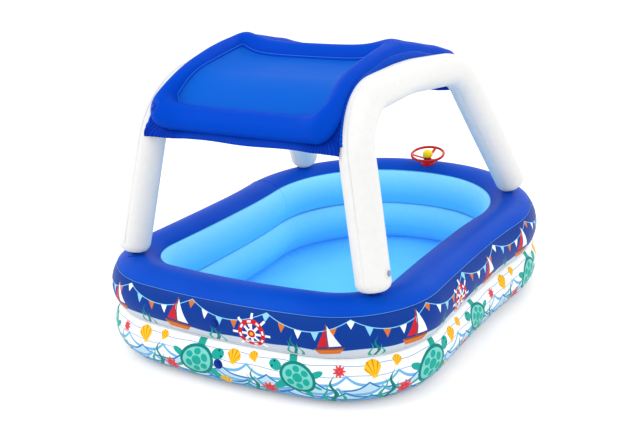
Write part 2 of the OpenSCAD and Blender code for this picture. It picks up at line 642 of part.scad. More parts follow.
// ---- steering wheel -------------------------------------------------------------------------------------------
// Local Z runs along the wheel's axis and starts at the ring's surface.
wheel_seat_y = pool_length / 2 - ring_radius;
module wheel_frame() {
  translate([0, wheel_seat_y, upper_ring_height]) rotate([wheel_tilt, wheel_side_lean, 0])
    translate([0, 0, ring_radius]) children();
}
base_thickness = 2.5;
boss_radius = 9;
plate = 3;
hub_base = pedestal_height + seat_gap;
hub_height = 26;
hub_radius = 18;
collar_radius = 21;
collar_height = 2.2;
hub_top = hub_base + hub_height;
clip_height = 2;
recess_floor = hub_base + 12;
squeaker_seat = hub_top - 3;
button_lip = hub_top - collar_height - 4;
module wheel_base() {
  color("#c81e28") difference() {
    wheel_frame() translate([0, 0, -ring_radius / 2])
      cylinder(r = pedestal_foot_radius, h = ring_radius / 2 + base_thickness);
    top_band(seat_gap, ring_radius + seat_gap - skin);
    wheel_frame() cylinder(r = boss_radius + 2, h = big, center = true);
  }
}
pedestal_foot = base_thickness + seat_gap;
module wheel_pedestal() {
  color("#d6222c") wheel_frame() rotate_extrude() union() {
    polygon([[pedestal_foot_radius - 3, pedestal_foot], [pedestal_foot_radius, pedestal_foot],
      [hub_radius + 3, pedestal_height - 2], [hub_radius, pedestal_height], [spindle_radius + run_clearance / 2, pedestal_height],
      [spindle_radius + run_clearance / 2, pedestal_height - 12], [boss_radius, pedestal_height - 12],
      [boss_radius, pedestal_height - plate], [hub_radius - 1, pedestal_height - plate]]);
  }
}
spindle_foot = pedestal_height - 15;
module wheel_spindle() {
  color("#b9bec6") wheel_frame() {
    translate([0, 0, spindle_foot]) cylinder(r = boss_radius, h = 2.8);
    translate([0, 0, spindle_foot]) cylinder(r = spindle_radius, h = recess_floor + clip_height + 1.4 - spindle_foot);
  }
}
module wheel_clip() {
  color("#9aa0a8") wheel_frame() translate([0, 0, recess_floor + 0.2]) difference() {
    cylinder(r = boss_radius, h = clip_height);
    translate([0, 0, -1]) cylinder(r = spindle_radius + 0.05, h = clip_height + 2);
  }
}
spoke_inner = hub_radius - 1;
spoke_outer = rim_outer_radius - rim_section * 1.8;
spoke_thickness = 5;
module steering_wheel() {
  color("#d9202b") wheel_frame() {
    difference() {
      rotate_extrude() union() {
        translate([0, hub_base]) square([hub_radius, hub_height]);
        translate([0, hub_top - collar_height]) square([collar_radius, collar_height]);
      }
      translate([0, 0, -1]) cylinder(r = spindle_radius + run_clearance / 2, h = big);
      translate([0, 0, recess_floor]) cylinder(r = boss_radius + 1.5, h = big);
      translate([0, 0, squeaker_seat]) cylinder(r = hub_radius - 2.5, h = big);
    }
    translate([0, 0, rim_height]) rotate_extrude() translate([rim_outer_radius - rim_section, 0]) circle(rim_section);
    for (k = [0:2]) rotate([0, 0, spoke_turn + 120 * k]) translate([0, spoke_width / 2, 0]) rotate([90, 0, 0])
      linear_extrude(spoke_width) polygon([[spoke_inner, hub_base + 1], [spoke_inner, hub_base + 1 + spoke_thickness],
        [spoke_outer, rim_height + spoke_thickness / 2], [spoke_outer, rim_height - spoke_thickness / 2]]);
  }
}
button_wall = 2.4;
button_shoulder = hub_top + 3;
button_top = button_shoulder + button_height - 4;
squeaker_top = button_top - button_wall - button_travel - 1.3;
module horn_squeaker() {
  color("#30343a") wheel_frame() rotate_extrude() union() {
    translate([0, squeaker_seat + 0.2]) square([hub_radius - 2.8, 2]);
    translate([0, squeaker_seat + 0.2]) square([9, squeaker_top - squeaker_seat - 3.2]);
    translate([0, squeaker_top - 3]) square([6, 3]);
  }
}
module horn_button() {
  bore = collar_radius + 0.4;
  dome_radius = pow(button_radius, 2) / (2 * (button_top - button_shoulder)) + (button_top - button_shoulder) / 2;
  color("#f7c81a") wheel_frame() rotate_extrude() difference() {
    union() {
      translate([0, button_lip]) square([button_radius, button_shoulder - button_lip]);
      intersection() {
        translate([0, button_top - dome_radius]) circle(dome_radius);
        translate([0, button_shoulder]) square([button_radius, button_height]);
      }
    }
    translate([0, button_lip + 3.8]) square([bore, button_shoulder - button_lip - 3.8]);
    intersection() {
      translate([0, button_top - dome_radius]) circle(dome_radius - button_wall);
      translate([0, button_shoulder - 0.01]) square([bore, button_height]);
    }
    square([hub_radius + 0.6, button_lip + 4]);
  }
}

upper_ring_top_band();
upper_ring_outer_band();
upper_ring_inner_band();
ring_divider();
lower_ring_outer_band();
lower_ring_inner_band();
floor_sheet();
leg_pockets();
upper_ring_valve_flange();
upper_ring_valve_stem();
upper_ring_valve_plug();
lower_ring_valve_flange();
lower_ring_valve_stem();
lower_ring_valve_plug();
right_arch_tube();
left_arch_tube();
arch_end_caps();
leg_plugs();
right_arch_valve_flange();
right_arch_valve_stem();
right_arch_valve_plug();
left_arch_valve_flange();
left_arch_valve_stem();
left_arch_valve_plug();
shade_top_sheet();
shade_bottom_sheet();
shade_front_skirt();
shade_rear_skirt();
shade_side_strips();
shade_valve_flange();
shade_valve_stem();
shade_valve_plug();
wheel_base();
wheel_pedestal();
wheel_spindle();
wheel_clip();
steering_wheel();
horn_squeaker();
horn_button();
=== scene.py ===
import math
from functools import partialmethod
import bmesh
import bpy
import numpy as np
from mathutils import Matrix, Vector


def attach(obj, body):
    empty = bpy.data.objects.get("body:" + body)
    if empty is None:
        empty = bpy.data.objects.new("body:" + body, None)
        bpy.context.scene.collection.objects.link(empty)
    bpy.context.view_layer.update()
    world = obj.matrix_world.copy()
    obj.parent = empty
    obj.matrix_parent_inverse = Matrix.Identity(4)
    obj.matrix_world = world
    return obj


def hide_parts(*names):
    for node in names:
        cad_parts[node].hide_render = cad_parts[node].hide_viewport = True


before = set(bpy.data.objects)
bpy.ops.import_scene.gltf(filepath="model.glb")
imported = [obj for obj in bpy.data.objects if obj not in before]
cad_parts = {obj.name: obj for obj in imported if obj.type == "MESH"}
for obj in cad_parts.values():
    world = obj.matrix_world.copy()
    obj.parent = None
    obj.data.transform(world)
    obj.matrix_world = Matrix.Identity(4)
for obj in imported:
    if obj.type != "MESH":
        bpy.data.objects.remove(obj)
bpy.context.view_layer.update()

# ---- sizes, in metres ------------------------------------------------------------------------------------------
POOL_LENGTH, POOL_WIDTH, WAIST_WIDTH = 2.130, 1.555, 1.524
BOW_CORNER, BOW_EDGE, STERN_CORNER, STERN_EDGE = 0.735, 0.930, 0.435, 3.100
RING, LOWER_RING, RING_PITCH = 0.130, 0.126, 0.178
UPPER_RING = LOWER_RING + RING_PITCH
POOL_TOP = UPPER_RING + RING
OUTER_SEAM, INNER_SEAM = math.radians(39), math.pi - math.radians(46)
GROOVE = math.asin((RING_PITCH / 2 - 0.001) / RING)
FLOOR_ANGLE = math.asin((LOWER_RING - 0.0012) / RING)
INNER_GROOVE_UP, INNER_GROOVE_DOWN, INNER_FLOOR = math.pi + GROOVE, math.pi - GROOVE, math.pi + FLOOR_ANGLE
TUBE, LEG_X, LEAN = 0.071, 0.593, math.radians(10.5)
ARCH_CORNERS = [(-0.826, 0.0), (-0.721, 0.722), (-0.2375, 0.731), (0.246, 0.676), (0.640, 0.0)]
BEND, CROWN_BLEND = 0.250, 1.600
FOOT_ROUND, FOOT_GAP = 0.040, 0.003
WELD_RISE, WELD_INSET, SIDE_STRIP, SHEET_DROP = 0.0665, 0.024, 0.010, 0.008
SIDE_TUBE, END_TUBE, RIDGE_TUBE = 0.072, 0.098, 0.104
RIDGE_OFFSET, END_SAG, PANEL_SAG = 0.035, 0.016, 0.038
FRAME_CORNER, END_CORNER, RIDGE_CORNER = 0.094, 0.032, 0.014
VALVE_S, VALVE_X, VALVE_SEAT = 0.056, -0.3816, 0.150
VALVE_BORE, VALVE_FLANGE, POCKET_BORE, POCKET_FLANGE, FLANGE_LIFT = 0.0091, 0.021, 0.0185, 0.040, 0.0018
SKIN = 0.0009  # thickness of a dressed film
SHEET_LIFT = 0.00165  # from the weld's middle to either sheet's face


# ---- mesh making -----------------------------------------------------------------------------------------------
def link(name, data):
    thing = bpy.data.objects.new(name, data)
    bpy.context.scene.collection.objects.link(thing)
    return thing


def finish_piece(piece, body, replaces=()):
    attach(piece, body)
    if replaces:
        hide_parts(*replaces)
    return piece


def new_piece(name, points, faces, body, look, replaces=(), uv=None):
    mesh = bpy.data.meshes.new(name)
    mesh.from_pydata(np.asarray(points, float).reshape(-1, 3).tolist(), [], faces)
    mesh.polygons.foreach_set("use_smooth", [True] * len(mesh.polygons))
    if uv is not None:
        layer = mesh.uv_layers.new(name="film")
        layer.uv.foreach_set("vector", np.asarray(uv, np.float32).ravel())
    mesh.update()
    mesh.materials.append(MATERIALS[look])
    return finish_piece(link(name, mesh), body, replaces)


def grid_faces(rows, columns, wrap_rows=False, wrap_columns=False, start=0):
    """Quads of a grid whose rows run along the first index. They face along (row direction) x (column direction)."""
    i = np.arange(rows if wrap_rows else rows - 1)
    j = np.arange(columns if wrap_columns else columns - 1)
    i, j = np.meshgrid(i, j, indexing="ij")
    i2, j2 = (i + 1) % rows, (j + 1) % columns
    quads = np.stack([i * columns + j, i2 * columns + j, i2 * columns + j2, i * columns + j2], -1)
    return (quads.reshape(-1, 4) + start).tolist()


def fan_faces(tip, start, count, backward=False):
    """Triangles from a tip to a closed row of points."""
    ends = [(j, (j + 1) % count) for j in range(count)]
    return [[tip, start + (b if backward else a), start + (a if backward else b)] for a, b in ends]


def grid_uv(u, v):
    """UVs for grid_faces with wrapped rows: u for each row, the first again at the end, and v for each column."""
    a, b = np.meshgrid(np.arange(len(u) - 1), np.arange(len(v) - 1), indexing="ij")
    corners = [(a, b), (a + 1, b), (a + 1, b + 1), (a, b + 1)]
    return np.stack([np.stack([u[p], v[q]], -1) for p, q in corners], 2).reshape(-1, 2)


def add_values(mesh, name, values):
    layer = mesh.attributes.new(name, "FLOAT", "POINT")
    layer.data.foreach_set("value", np.asarray(values, np.float32).ravel())


def thicken(piece, offset=-1.0):
    wall = piece.modifiers.new("film thickness", "SOLIDIFY")
    wall.thickness = SKIN
    wall.offset = offset
    wall.use_even_offset = False


def unit(v):
    v = np.asarray(v, float)
    return v / np.linalg.norm(v)


def unit_rows(v):
    return v / np.linalg.norm(v, axis=1)[:, None]


def run_along(line):
    """The length run at each point of a line."""
    return np.concatenate([[0], np.cumsum(np.linalg.norm(np.diff(line, axis=0), axis=1))])


def at_run(at, run, line):
    return np.stack([np.interp(at, run, line[:, k]) for k in (0, 1)], 1)


def averaged(values, reach, ends):
    """A running mean over reach places to either side."""
    return np.convolve(np.pad(values, reach, ends), np.ones(2 * reach + 1) / (2 * reach + 1), "valid")


def bump(distance, width):
    """1 at a line, falling to 0 beside it."""
    return np.exp(-(distance / width) ** 2)


def ripple(run, total, wave, seed):
    """An uneven ripple between -1 and 1 along a closed or open length."""
    n = max(3, round(total / wave))
    t = 2 * np.pi * run / total
    wander = 1.7 * np.sin(max(2, n // 9) * t + seed)
    return np.sin(n * t + wander) * (0.55 + 0.45 * np.sin(max(1, n // 14) * t + 2.3 * seed))


# ---- outline of the rings --------------------------------------------------------------------------------------
def quarter(half_length, corner, edge):
    """A ring's middle line from the waist to the middle of an end: points and outward directions."""
    cx = POOL_WIDTH / 2 - corner
    ey = half_length - edge
    cy = ey + math.sqrt((edge - corner) ** 2 - cx ** 2)
    d = cx - WAIST_WIDTH / 2
    waist = (d * d + cy * cy - corner ** 2) / (2 * (corner + d))
    waist_turn = math.atan2(cy, WAIST_WIDTH / 2 + waist - cx)
    end_turn = math.atan2(cy - ey, cx)
    points, normals = [], []

    def arc_of(x, y, radius, angles, facing=1):
        for a in angles:
            points.append((x + facing * radius * math.cos(a), y + radius * math.sin(a)))
            normals.append((math.cos(a), facing * math.sin(a)))

    # The waist curves inwards, so its arc's centre lies outside.
    arc_of(WAIST_WIDTH / 2 + waist, 0, waist + RING, np.linspace(0, waist_turn, 80, endpoint=False), -1)
    arc_of(cx, cy, corner - RING, np.linspace(-waist_turn, end_turn, 160, endpoint=False))
    arc_of(0, ey, edge - RING, np.linspace(end_turn, math.pi / 2, 80))
    return np.array(points), np.array(normals)


def outline(count):
    """Evenly spaced places on the rings' middle line, counter-clockwise from the right of the waist."""
    bow = quarter(POOL_LENGTH / 2, BOW_CORNER, BOW_EDGE)
    stern = quarter(POOL_LENGTH / 2, STERN_CORNER, STERN_EDGE)
    flip = lambda a, sx, sy: a * np.array([sx, sy])
    points, normals = (np.concatenate([b, flip(b[::-1], -1, 1)[1:-1], flip(s, -1, -1), flip(s[::-1], 1, -1)[1:-1]])
        for b, s in zip(bow, stern))
    outer = points + normals * RING
    run = run_along(np.vstack([outer, outer[:1]]))
    at = np.linspace(0, run[-1], count, endpoint=False)
    loop = lambda a: at_run(at, run, np.vstack([a, a[:1]]))
    return loop(points), unit_rows(loop(normals)), at, run[-1]


STATIONS = 560
RING_P, RING_N, RING_RUN, PERIMETER = outline(STATIONS)
turn = np.linalg.norm(np.roll(RING_N, -1, 0) - np.roll(RING_N, 1, 0), axis=1) / (2 * PERIMETER / STATIONS)
CORNERS = averaged(np.clip(turn / 2.3, 0, 1), 9, "wrap")


def on_ring(height, radius, angle):
    """Points of a ring at its stations, over the section's angles."""
    out = radius * np.cos(angle)
    x, y = (RING_P[:, None, k] + RING_N[:, None, k] * out for k in (0, 1))
    return np.stack([x, y, np.broadcast_to(height + radius * np.sin(angle), x.shape)], -1)


def ring_line(height, angle, lift):
    """A closed line along a ring's skin at one angle of its section."""
    return on_ring(height, np.full((STATIONS, 1), RING + lift), angle)[:, 0]


def band_piece(name, node, height, ends, columns, seams, pucker, seed, slot, look):
    """A band of ring film between two angles of the section. It puckers along its seams, more so at the corners."""
    # Denser columns beside the two ends, where the film pulls in to its welds.
    t = np.linspace(0, 1, columns)
    t = 0.65 * t + 0.35 * (1 - np.cos(np.pi * t)) / 2
    angles = ends[0] + (ends[1] - ends[0]) * t
    run, a = RING_RUN[:, None], angles[None, :]
    radius = RING + 0.0009 * np.sin(2 * np.pi * run / PERIMETER * 5 + seed) * np.cos(a * 2 + seed)
    for k, seam in enumerate(seams):
        near = np.exp(-np.abs(a - seam) * RING / 0.022) * (0.25 + 0.75 * CORNERS[:, None])
        radius = radius - pucker * near * (0.5 + 0.5 * ripple(run, PERIMETER, 0.024, seed + k))
        radius = radius - 0.0016 * bump((a - seam) * RING, 0.004)
    uv = grid_uv(np.append(RING_RUN, PERIMETER), angles * RING)
    faces = grid_faces(STATIONS, columns, wrap_rows=True)
    thicken(new_piece(name, on_ring(height, radius, a), faces, "pool", look, [node], uv))


# ---- arches and the sunshade's line ----------------------------------------------------------------------------
def fillet(a, b, c, radius, steps):
    """The arc that rounds corner b between a and c, and the angle it turns."""
    a, b, c = (np.asarray(p, float) for p in (a, b, c))
    u, v = unit(a - b), unit(c - b)
    half = math.acos(float(u @ v)) / 2
    centre = b + unit(u + v) * radius / math.sin(half)
    from_centre = b + u * radius / math.tan(half) - centre
    turned = math.pi - 2 * half
    angles = math.atan2(from_centre[1], from_centre[0]) - turned * np.linspace(0, 1, steps + 1)
    return centre + radius * np.stack([np.cos(angles), np.sin(angles)], 1), turned


def foot(corner, toward):
    """Where a leg's tube starts above its rounded foot, and the leg's direction upwards."""
    up = unit(np.subtract(toward, corner))
    rise = up[1] * math.cos(LEAN)
    start = (FOOT_ROUND + (TUBE - FOOT_ROUND) * math.sin(math.acos(rise)) + FOOT_GAP) / rise
    return np.array(corner) + up * start, up


def resample(line, count):
    """Even places along a line, with the left-hand normal and the run at each."""
    run = run_along(line)
    at = np.linspace(0, run[-1], count)
    p = at_run(at, run, line)
    tangent = unit_rows(np.gradient(p, axis=0))
    return p, np.stack([-tangent[:, 1], tangent[:, 0]], 1), at


BEND_STEPS, ARCH_ROWS = 60, 430
FRONT_FOOT, FRONT_UP = foot(*ARCH_CORNERS[:2])
REAR_FOOT, REAR_UP = foot(*ARCH_CORNERS[:2:-1])
front_bend, front_turn = fillet(*ARCH_CORNERS[0:3], BEND, BEND_STEPS)
crown_bend, _ = fillet(*ARCH_CORNERS[1:4], CROWN_BLEND, 20)
rear_bend, rear_turn = fillet(*ARCH_CORNERS[2:5], BEND, BEND_STEPS)
ARCH_P, ARCH_N, ARCH_RUN = resample(
    np.concatenate([[FRONT_FOOT], front_bend, crown_bend, rear_bend, [REAR_FOOT]]), ARCH_ROWS)


def arch_place(side, y, rise, out):
    """World points of the right or left arch's own (y, rise) plane, with out measured outboard."""
    x = LEG_X + out * math.cos(LEAN) - rise * math.sin(LEAN)
    z = POOL_TOP + out * math.sin(LEAN) + rise * math.cos(LEAN)
    return np.stack([side * x, np.broadcast_to(y, x.shape), z], -1)


def round_arch(side, p, n, radius, phi):
    """Points round an arch's line at p, where n is its normal in the arch's plane."""
    out = radius * np.cos(phi)
    return arch_place(side, p[..., 0:1] + n[..., 0:1] * out, p[..., 1:2] + n[..., 1:2] * out, radius * np.sin(phi))


def arch_piece(side):
    sides = 72
    heading = np.unwrap(np.arctan2(ARCH_N[:, 1], ARCH_N[:, 0]))
    bend = averaged(np.clip(-np.gradient(heading, ARCH_RUN), 0, 5) / 4, 7, "edge")
    phi = np.linspace(0, 2 * np.pi, sides, endpoint=False)[None, :]
    t, length = ARCH_RUN[:, None], ARCH_RUN[-1]
    inner = np.clip(-np.cos(phi), 0, 1)
    radius = TUBE + 0.0006 * np.sin(9 * t + 2 * phi + side)
    # Film gathers in soft folds on the inside of each bend, and pulls in along the two weld lines.
    radius = radius - 0.0030 * bend[:, None] * inner ** 2 * (0.5 + 0.5 * ripple(t, length, 0.040, 1.3 + side))
    for seam in (0, np.pi):
        d = np.abs((phi - seam + np.pi) % (2 * np.pi) - np.pi) * TUBE
        pull = 0.0011 * np.exp(-d / 0.014) * (0.5 + 0.5 * ripple(t, length, 0.019, 2.1 * side + seam))
        radius = radius - 0.0012 * bump(d, 0.004) - pull
    tubes = round_arch(side, ARCH_P, ARCH_N, radius, phi)
    rings, tips = [], []
    beta, inset = np.linspace(0, np.pi / 2, 12)[1:], TUBE - FOOT_ROUND
    r = np.concatenate([inset + FOOT_ROUND * np.cos(beta), inset * np.array([0.75, 0.5, 0.25])])
    depth = np.concatenate([FOOT_ROUND * np.sin(beta), np.full(3, FOOT_ROUND)]) * 0.995
    for start, up, normal in ((FRONT_FOOT, FRONT_UP, ARCH_N[0]), (REAR_FOOT, REAR_UP, ARCH_N[-1])):
        c = start - up * depth[:, None]
        rings.append(round_arch(side, c, normal, r[:, None], phi))
        tips.append(arch_place(side, c[-1:, 0], c[-1:, 1], np.zeros(1)))
    points = np.concatenate([rings[0][::-1], tubes, rings[1]])
    rows = len(points)
    faces = grid_faces(rows, sides, wrap_columns=True)
    for front, rear in zip(fan_faces(rows * sides, 0, sides),
            fan_faces(rows * sides + 1, (rows - 1) * sides, sides, backward=True)):
        faces += [front, rear]
    if side > 0:
        faces = [f[::-1] for f in faces]
    name = "right_arch" if side > 0 else "left_arch"
    new_piece(name, np.concatenate([points.reshape(-1, 3), *tips]), faces, "sunshade", "white_vinyl",
        [name + "_tube", "arch_end_caps"])


def bend_start(angle, turned):
    """The step of a bend at which the shade begins, an angle past the bend's start."""
    steps = 24
    return round(BEND_STEPS * math.floor(steps * math.radians(angle) / turned) / steps)


SHADE_P, SHADE_N, SHADE_RUN = resample(np.concatenate([front_bend[bend_start(11, front_turn):], crown_bend,
    rear_bend[:BEND_STEPS + 1 - bend_start(2, rear_turn)]]), 1200)
SHADE_N = unit_rows(np.stack([averaged(SHADE_N[:, k], 40, "edge") for k in (0, 1)], 1))
SHADE_LENGTH = SHADE_RUN[-1]
RIDGE_S = SHADE_LENGTH / 2 + RIDGE_OFFSET
FRONT_PANEL = (END_TUBE, RIDGE_S - RIDGE_TUBE / 2)
REAR_PANEL = (SHADE_LENGTH - END_TUBE, RIDGE_S + RIDGE_TUBE / 2)
PANELS = (FRONT_PANEL, REAR_PANEL)


# Places on the shade are (s, x, h): the run along the arches' line, the place across, and the height over the line.
def along(values, s):
    return np.interp(s, SHADE_RUN, values)


def shade_rise(s, h):
    return along(SHADE_P[:, 1], s) + along(SHADE_N[:, 1], s) * h


def shade_point(s, x, h):
    s, x, h = np.broadcast_arrays(s, x, h)
    y = along(SHADE_P[:, 0], s) + along(SHADE_N[:, 0], s) * h
    return np.stack([x, y, POOL_TOP + shade_rise(s, h) * math.cos(LEAN) - SHEET_DROP], -1)


def weld_x(s):
    return LEG_X - WELD_INSET * math.cos(LEAN) - shade_rise(s, WELD_RISE) * math.sin(LEAN)


def sheet_half(s):
    return weld_x(s) - SIDE_STRIP


def panel_half(s):
    return sheet_half(s) - SIDE_TUBE


def panel_distance(s, x):
    """Distance outside the nearer panel, whose corners are rounded, 0 inside it."""
    nearest = np.inf
    for panel in PANELS:
        r = np.where(np.abs(s - panel[0]) < np.abs(s - panel[1]), END_CORNER, RIDGE_CORNER)
        ds = np.maximum(min(panel) - s, s - max(panel)) + r
        dx = np.abs(x) - panel_half(s) + r
        nearest = np.minimum(nearest, np.maximum(np.hypot(np.maximum(ds, 0), np.maximum(dx, 0)) - r, 0))
    return nearest


def frame_distance(s, x):
    """Distance inside the tubes' outer weld, whose corners are rounded, 0 outside it."""
    r = FRAME_CORNER
    ds = np.maximum(r - s, s - SHADE_LENGTH + r)
    dx = np.abs(x) - sheet_half(s) + r
    return np.maximum(r - np.where((ds > 0) & (dx > 0), np.hypot(ds, dx), np.maximum(ds, dx)), 0)


def weld_distance(s, x):
    return np.minimum(panel_distance(s, x), frame_distance(s, x))


def panel_run(s):
    """0 at a panel's end tube, 1 at the ridge."""
    front, rear = ((s - end) / (ridge - end) for end, ridge in PANELS)
    return np.clip(np.where(s < RIDGE_S, front, rear), 0, 1)


def panel_height(s, x):
    t, u = panel_run(s), np.minimum(1, np.abs(x) / panel_half(s))
    return 0.048 + 0.052 * t - PANEL_SAG * (0.5 + 0.5 * t) * (1 - u ** 6)


def side_rise(s):
    t = np.clip((panel_run(s) - 0.15) / 0.80, 0, 1)
    return 0.0690 + 0.0340 * t * t * (3 - 2 * t)


def edge_height(s, x):
    u = np.minimum(1, np.abs(x) / sheet_half(s))
    return side_rise(s) - END_SAG * (1 - u * u)


def weld_height(s, x):
    """Height of the nearest weld over the arch's line."""
    near_panel = panel_distance(s, x) < frame_distance(s, x)
    return np.where(near_panel, panel_height(s, x), edge_height(s, x))


def blown_film():
    """How the joined tubes swell: a membrane under even pressure, held at the welds. Solved on the right half."""
    step, columns = 0.004, 121
    s = np.arange(0, SHADE_LENGTH + step, step)
    x = np.linspace(0, 1, columns)[None, :] * sheet_half(s)[:, None]
    s = s[:, None]
    d = weld_distance(s, x)
    free = d > 0.3 * step
    stretch = (step * (columns - 1) / sheet_half(s)) ** 2
    chess = np.indices(d.shape).sum(0) % 2

    def settle(u, pressure):
        for turn in range(2 * 320):
            p = np.pad(u, 1, "edge")
            p[:, 0] = p[:, 2]
            across, down = p[1:-1, 2:] + p[1:-1, :-2], p[2:, 1:-1] + p[:-2, 1:-1]
            rest = (down + stretch * across + pressure * step * step) / (2 + 2 * stretch)
            u = np.where(free & (chess == turn % 2), u + 1.82 * (rest - u), u)
        return u

    def around(cells):
        rows, across = cells.shape
        p = np.pad(cells, 1, "edge")
        return sum(p[i:rows + i, j:across + j] for i in range(3) for j in range(3))

    u = settle(np.zeros(d.shape), 1)
    level = settle(weld_height(s, x), 0)
    # Slope away from a weld, carried over the cells that the weld itself cuts.
    known = d > 1.3 * step
    slope = np.where(known, u / np.maximum(d, 1e-6), 0)
    weight = known.astype(float)
    for _ in range(5):
        total, count = around(slope * weight), around(weight)
        fill = (weight == 0) & (count > 0)
        slope = np.where(fill, total / np.maximum(count, 1e-6), slope)
        weight = np.where(fill, 1.0, weight)
    return step, u, slope, level


BLOWN_STEP, BLOWN_RISE, BLOWN_SLOPE, BLOWN_LEVEL = blown_film()


def from_table(table, s, x):
    s, x = np.broadcast_arrays(np.asarray(s, float), np.asarray(x, float))
    i = np.clip(s / BLOWN_STEP, 0, table.shape[0] - 1.001)
    j = np.clip(np.abs(x) / sheet_half(s) * (table.shape[1] - 1), 0, table.shape[1] - 1.001)
    a, b = i.astype(int), j.astype(int)
    i, j = i - a, j - b
    low, high = (table[a, c] * (1 - i) + table[a + 1, c] * i for c in (b, b + 1))
    return low * (1 - j) + high * j


def sheet_height(s, x):
    """Height of the welds' level, carried smoothly across the tubes between the panels' and the outer weld's."""
    near = np.clip(1 - weld_distance(s, x) / 0.010, 0, 1)
    return from_table(BLOWN_LEVEL, s, x) * (1 - near) + weld_height(s, x) * near


def corner_share(s, x):
    """1 in the middle of a corner where an end tube meets a side tube, falling smoothly to 0 around it."""
    from_end = np.minimum(s, SHADE_LENGTH - s) - END_TUBE / 2
    from_side = sheet_half(s) - 0.050 - np.abs(x)
    return bump(np.hypot(from_end, from_side), 0.085)


def swell(s, x, fullness=None):
    """How far the tubes are blown up at a place, and its distance from the nearest weld."""
    s, x = np.broadcast_arrays(np.asarray(s, float), np.asarray(x, float))
    d = weld_distance(s, x)
    near = np.clip(1 - (d - 0.004) / 0.008, 0, 1)
    rise = from_table(BLOWN_RISE, s, x) * (1 - near) + from_table(BLOWN_SLOPE, s, x) * d * near
    fullness = CORNER_FULLNESS if fullness is None else fullness
    # The side tubes are pressed thin where they are pulled round the arches' front bend.
    pressed = 1 - 0.22 * bump(s - 0.245, 0.085) * np.clip((np.abs(x) - panel_half(s)) / 0.02, 0, 1)
    full = np.sqrt(8 * np.maximum(rise, 0) * (1 - np.exp(-d / 0.0022)))
    return full * (1 + fullness * corner_share(s, x)) * pressed, d


# The corners are as full as the valve's seat needs: its height over the arch's line is fixed.
TOP_SHARE, BOTTOM_SHARE = 0.6, 0.3
seat_full = (VALVE_SEAT - float(sheet_height(VALVE_S, VALVE_X))) / (TOP_SHARE * float(swell(VALVE_S, VALVE_X, 0.0)[0]))
CORNER_FULLNESS = (seat_full - 1) / float(corner_share(VALVE_S, VALVE_X))


def gathers(s, x, d, wave, seed):
    """Small gathers square to the welds, deeper at the corners."""
    depth = 0.0010 * np.exp(-d / 0.011) * np.minimum(1, d / 0.003) * (0.45 + 1.3 * corner_share(s, x))
    return depth * (ripple(s, SHADE_LENGTH, wave, seed) + ripple(x + 0.5, 1.0, wave, seed + 1.2))


def top_sheet(s, x, lift=SHEET_LIFT):
    full, d = swell(s, x)
    soft = 0.0012 * np.sin(11 * x + 2) * np.sin(9 * s) * np.minimum(1, full / 0.03)
    return shade_point(s, x, sheet_height(s, x) + TOP_SHARE * full + lift + gathers(s, x, d, 0.017, 0.7) + soft)


def bottom_sheet(s, x, lift=SHEET_LIFT):
    full, d = swell(s, x)
    return shade_point(s, x, sheet_height(s, x) - BOTTOM_SHARE * full - lift - gathers(s, x, d, 0.019, 2.7))


# Paths on the shade run from the middle of an end tube to the ridge. toward is -1 when the end lies at lower s.
def arc(centre_s, centre_x, radius, toward, steps):
    """A quarter arc in (s, x), from the end's side to the long side."""
    a = np.linspace(0, np.pi / 2, steps + 1)
    return np.stack([centre_s + toward * radius * np.cos(a), centre_x + radius * np.sin(a)], 1)


def across(s, first, last, steps):
    return np.stack([np.full(steps + 1, s), np.linspace(first, last, steps + 1)], 1)


def closed(*parts):
    """A closed path from the parts of its right half, each of which ends where the next one starts."""
    right = np.concatenate([p[:-1] for p in parts[:-1]] + [parts[-1]])
    return np.concatenate([right, right[1:-1][::-1] * np.array([1, -1])])


def panel_path(panel, away=0.0):
    """The weld round a flat panel as (s, x) places."""
    toward = -1 if panel[0] < panel[1] else 1
    end, ridge = panel[0] + toward * away, panel[1] - toward * away
    r, q = END_CORNER + away, RIDGE_CORNER + away
    s1, s2 = end - toward * r, ridge + toward * q
    h1, h2 = float(panel_half(s1)) + away, float(panel_half(s2)) + away
    side = np.linspace(s1, s2, 61)
    return closed(across(end, 0, h1 - r, 40), arc(s1, h1 - r, r, toward, 14),
        np.stack([side, panel_half(side) + away], 1), arc(s2, h2 - q, q, -toward, 16)[::-1],
        across(ridge, h2 - q, 0, 40))


def frame_path(panel):
    """The outer weld round one half of the shade and the ridge's middle line, matched to panel_path."""
    toward = -1 if panel[0] < panel[1] else 1
    end, r = 0.0 if toward < 0 else SHADE_LENGTH, FRAME_CORNER
    s1, s2 = end - toward * r, panel[1] + toward * 0.004
    h1, h0, hp = float(sheet_half(s1)), float(sheet_half(RIDGE_S)), float(panel_half(RIDGE_S))
    side, last = np.linspace(s1, s2, 61), np.linspace(s2, RIDGE_S, 9)
    return closed(across(end, 0, h1 - r, 40), arc(s1, h1 - r, r, toward, 14), np.stack([side, sheet_half(side)], 1),
        np.stack([last, sheet_half(last)], 1), across(RIDGE_S, h0, hp, 8), across(RIDGE_S, hp, 0, 40))


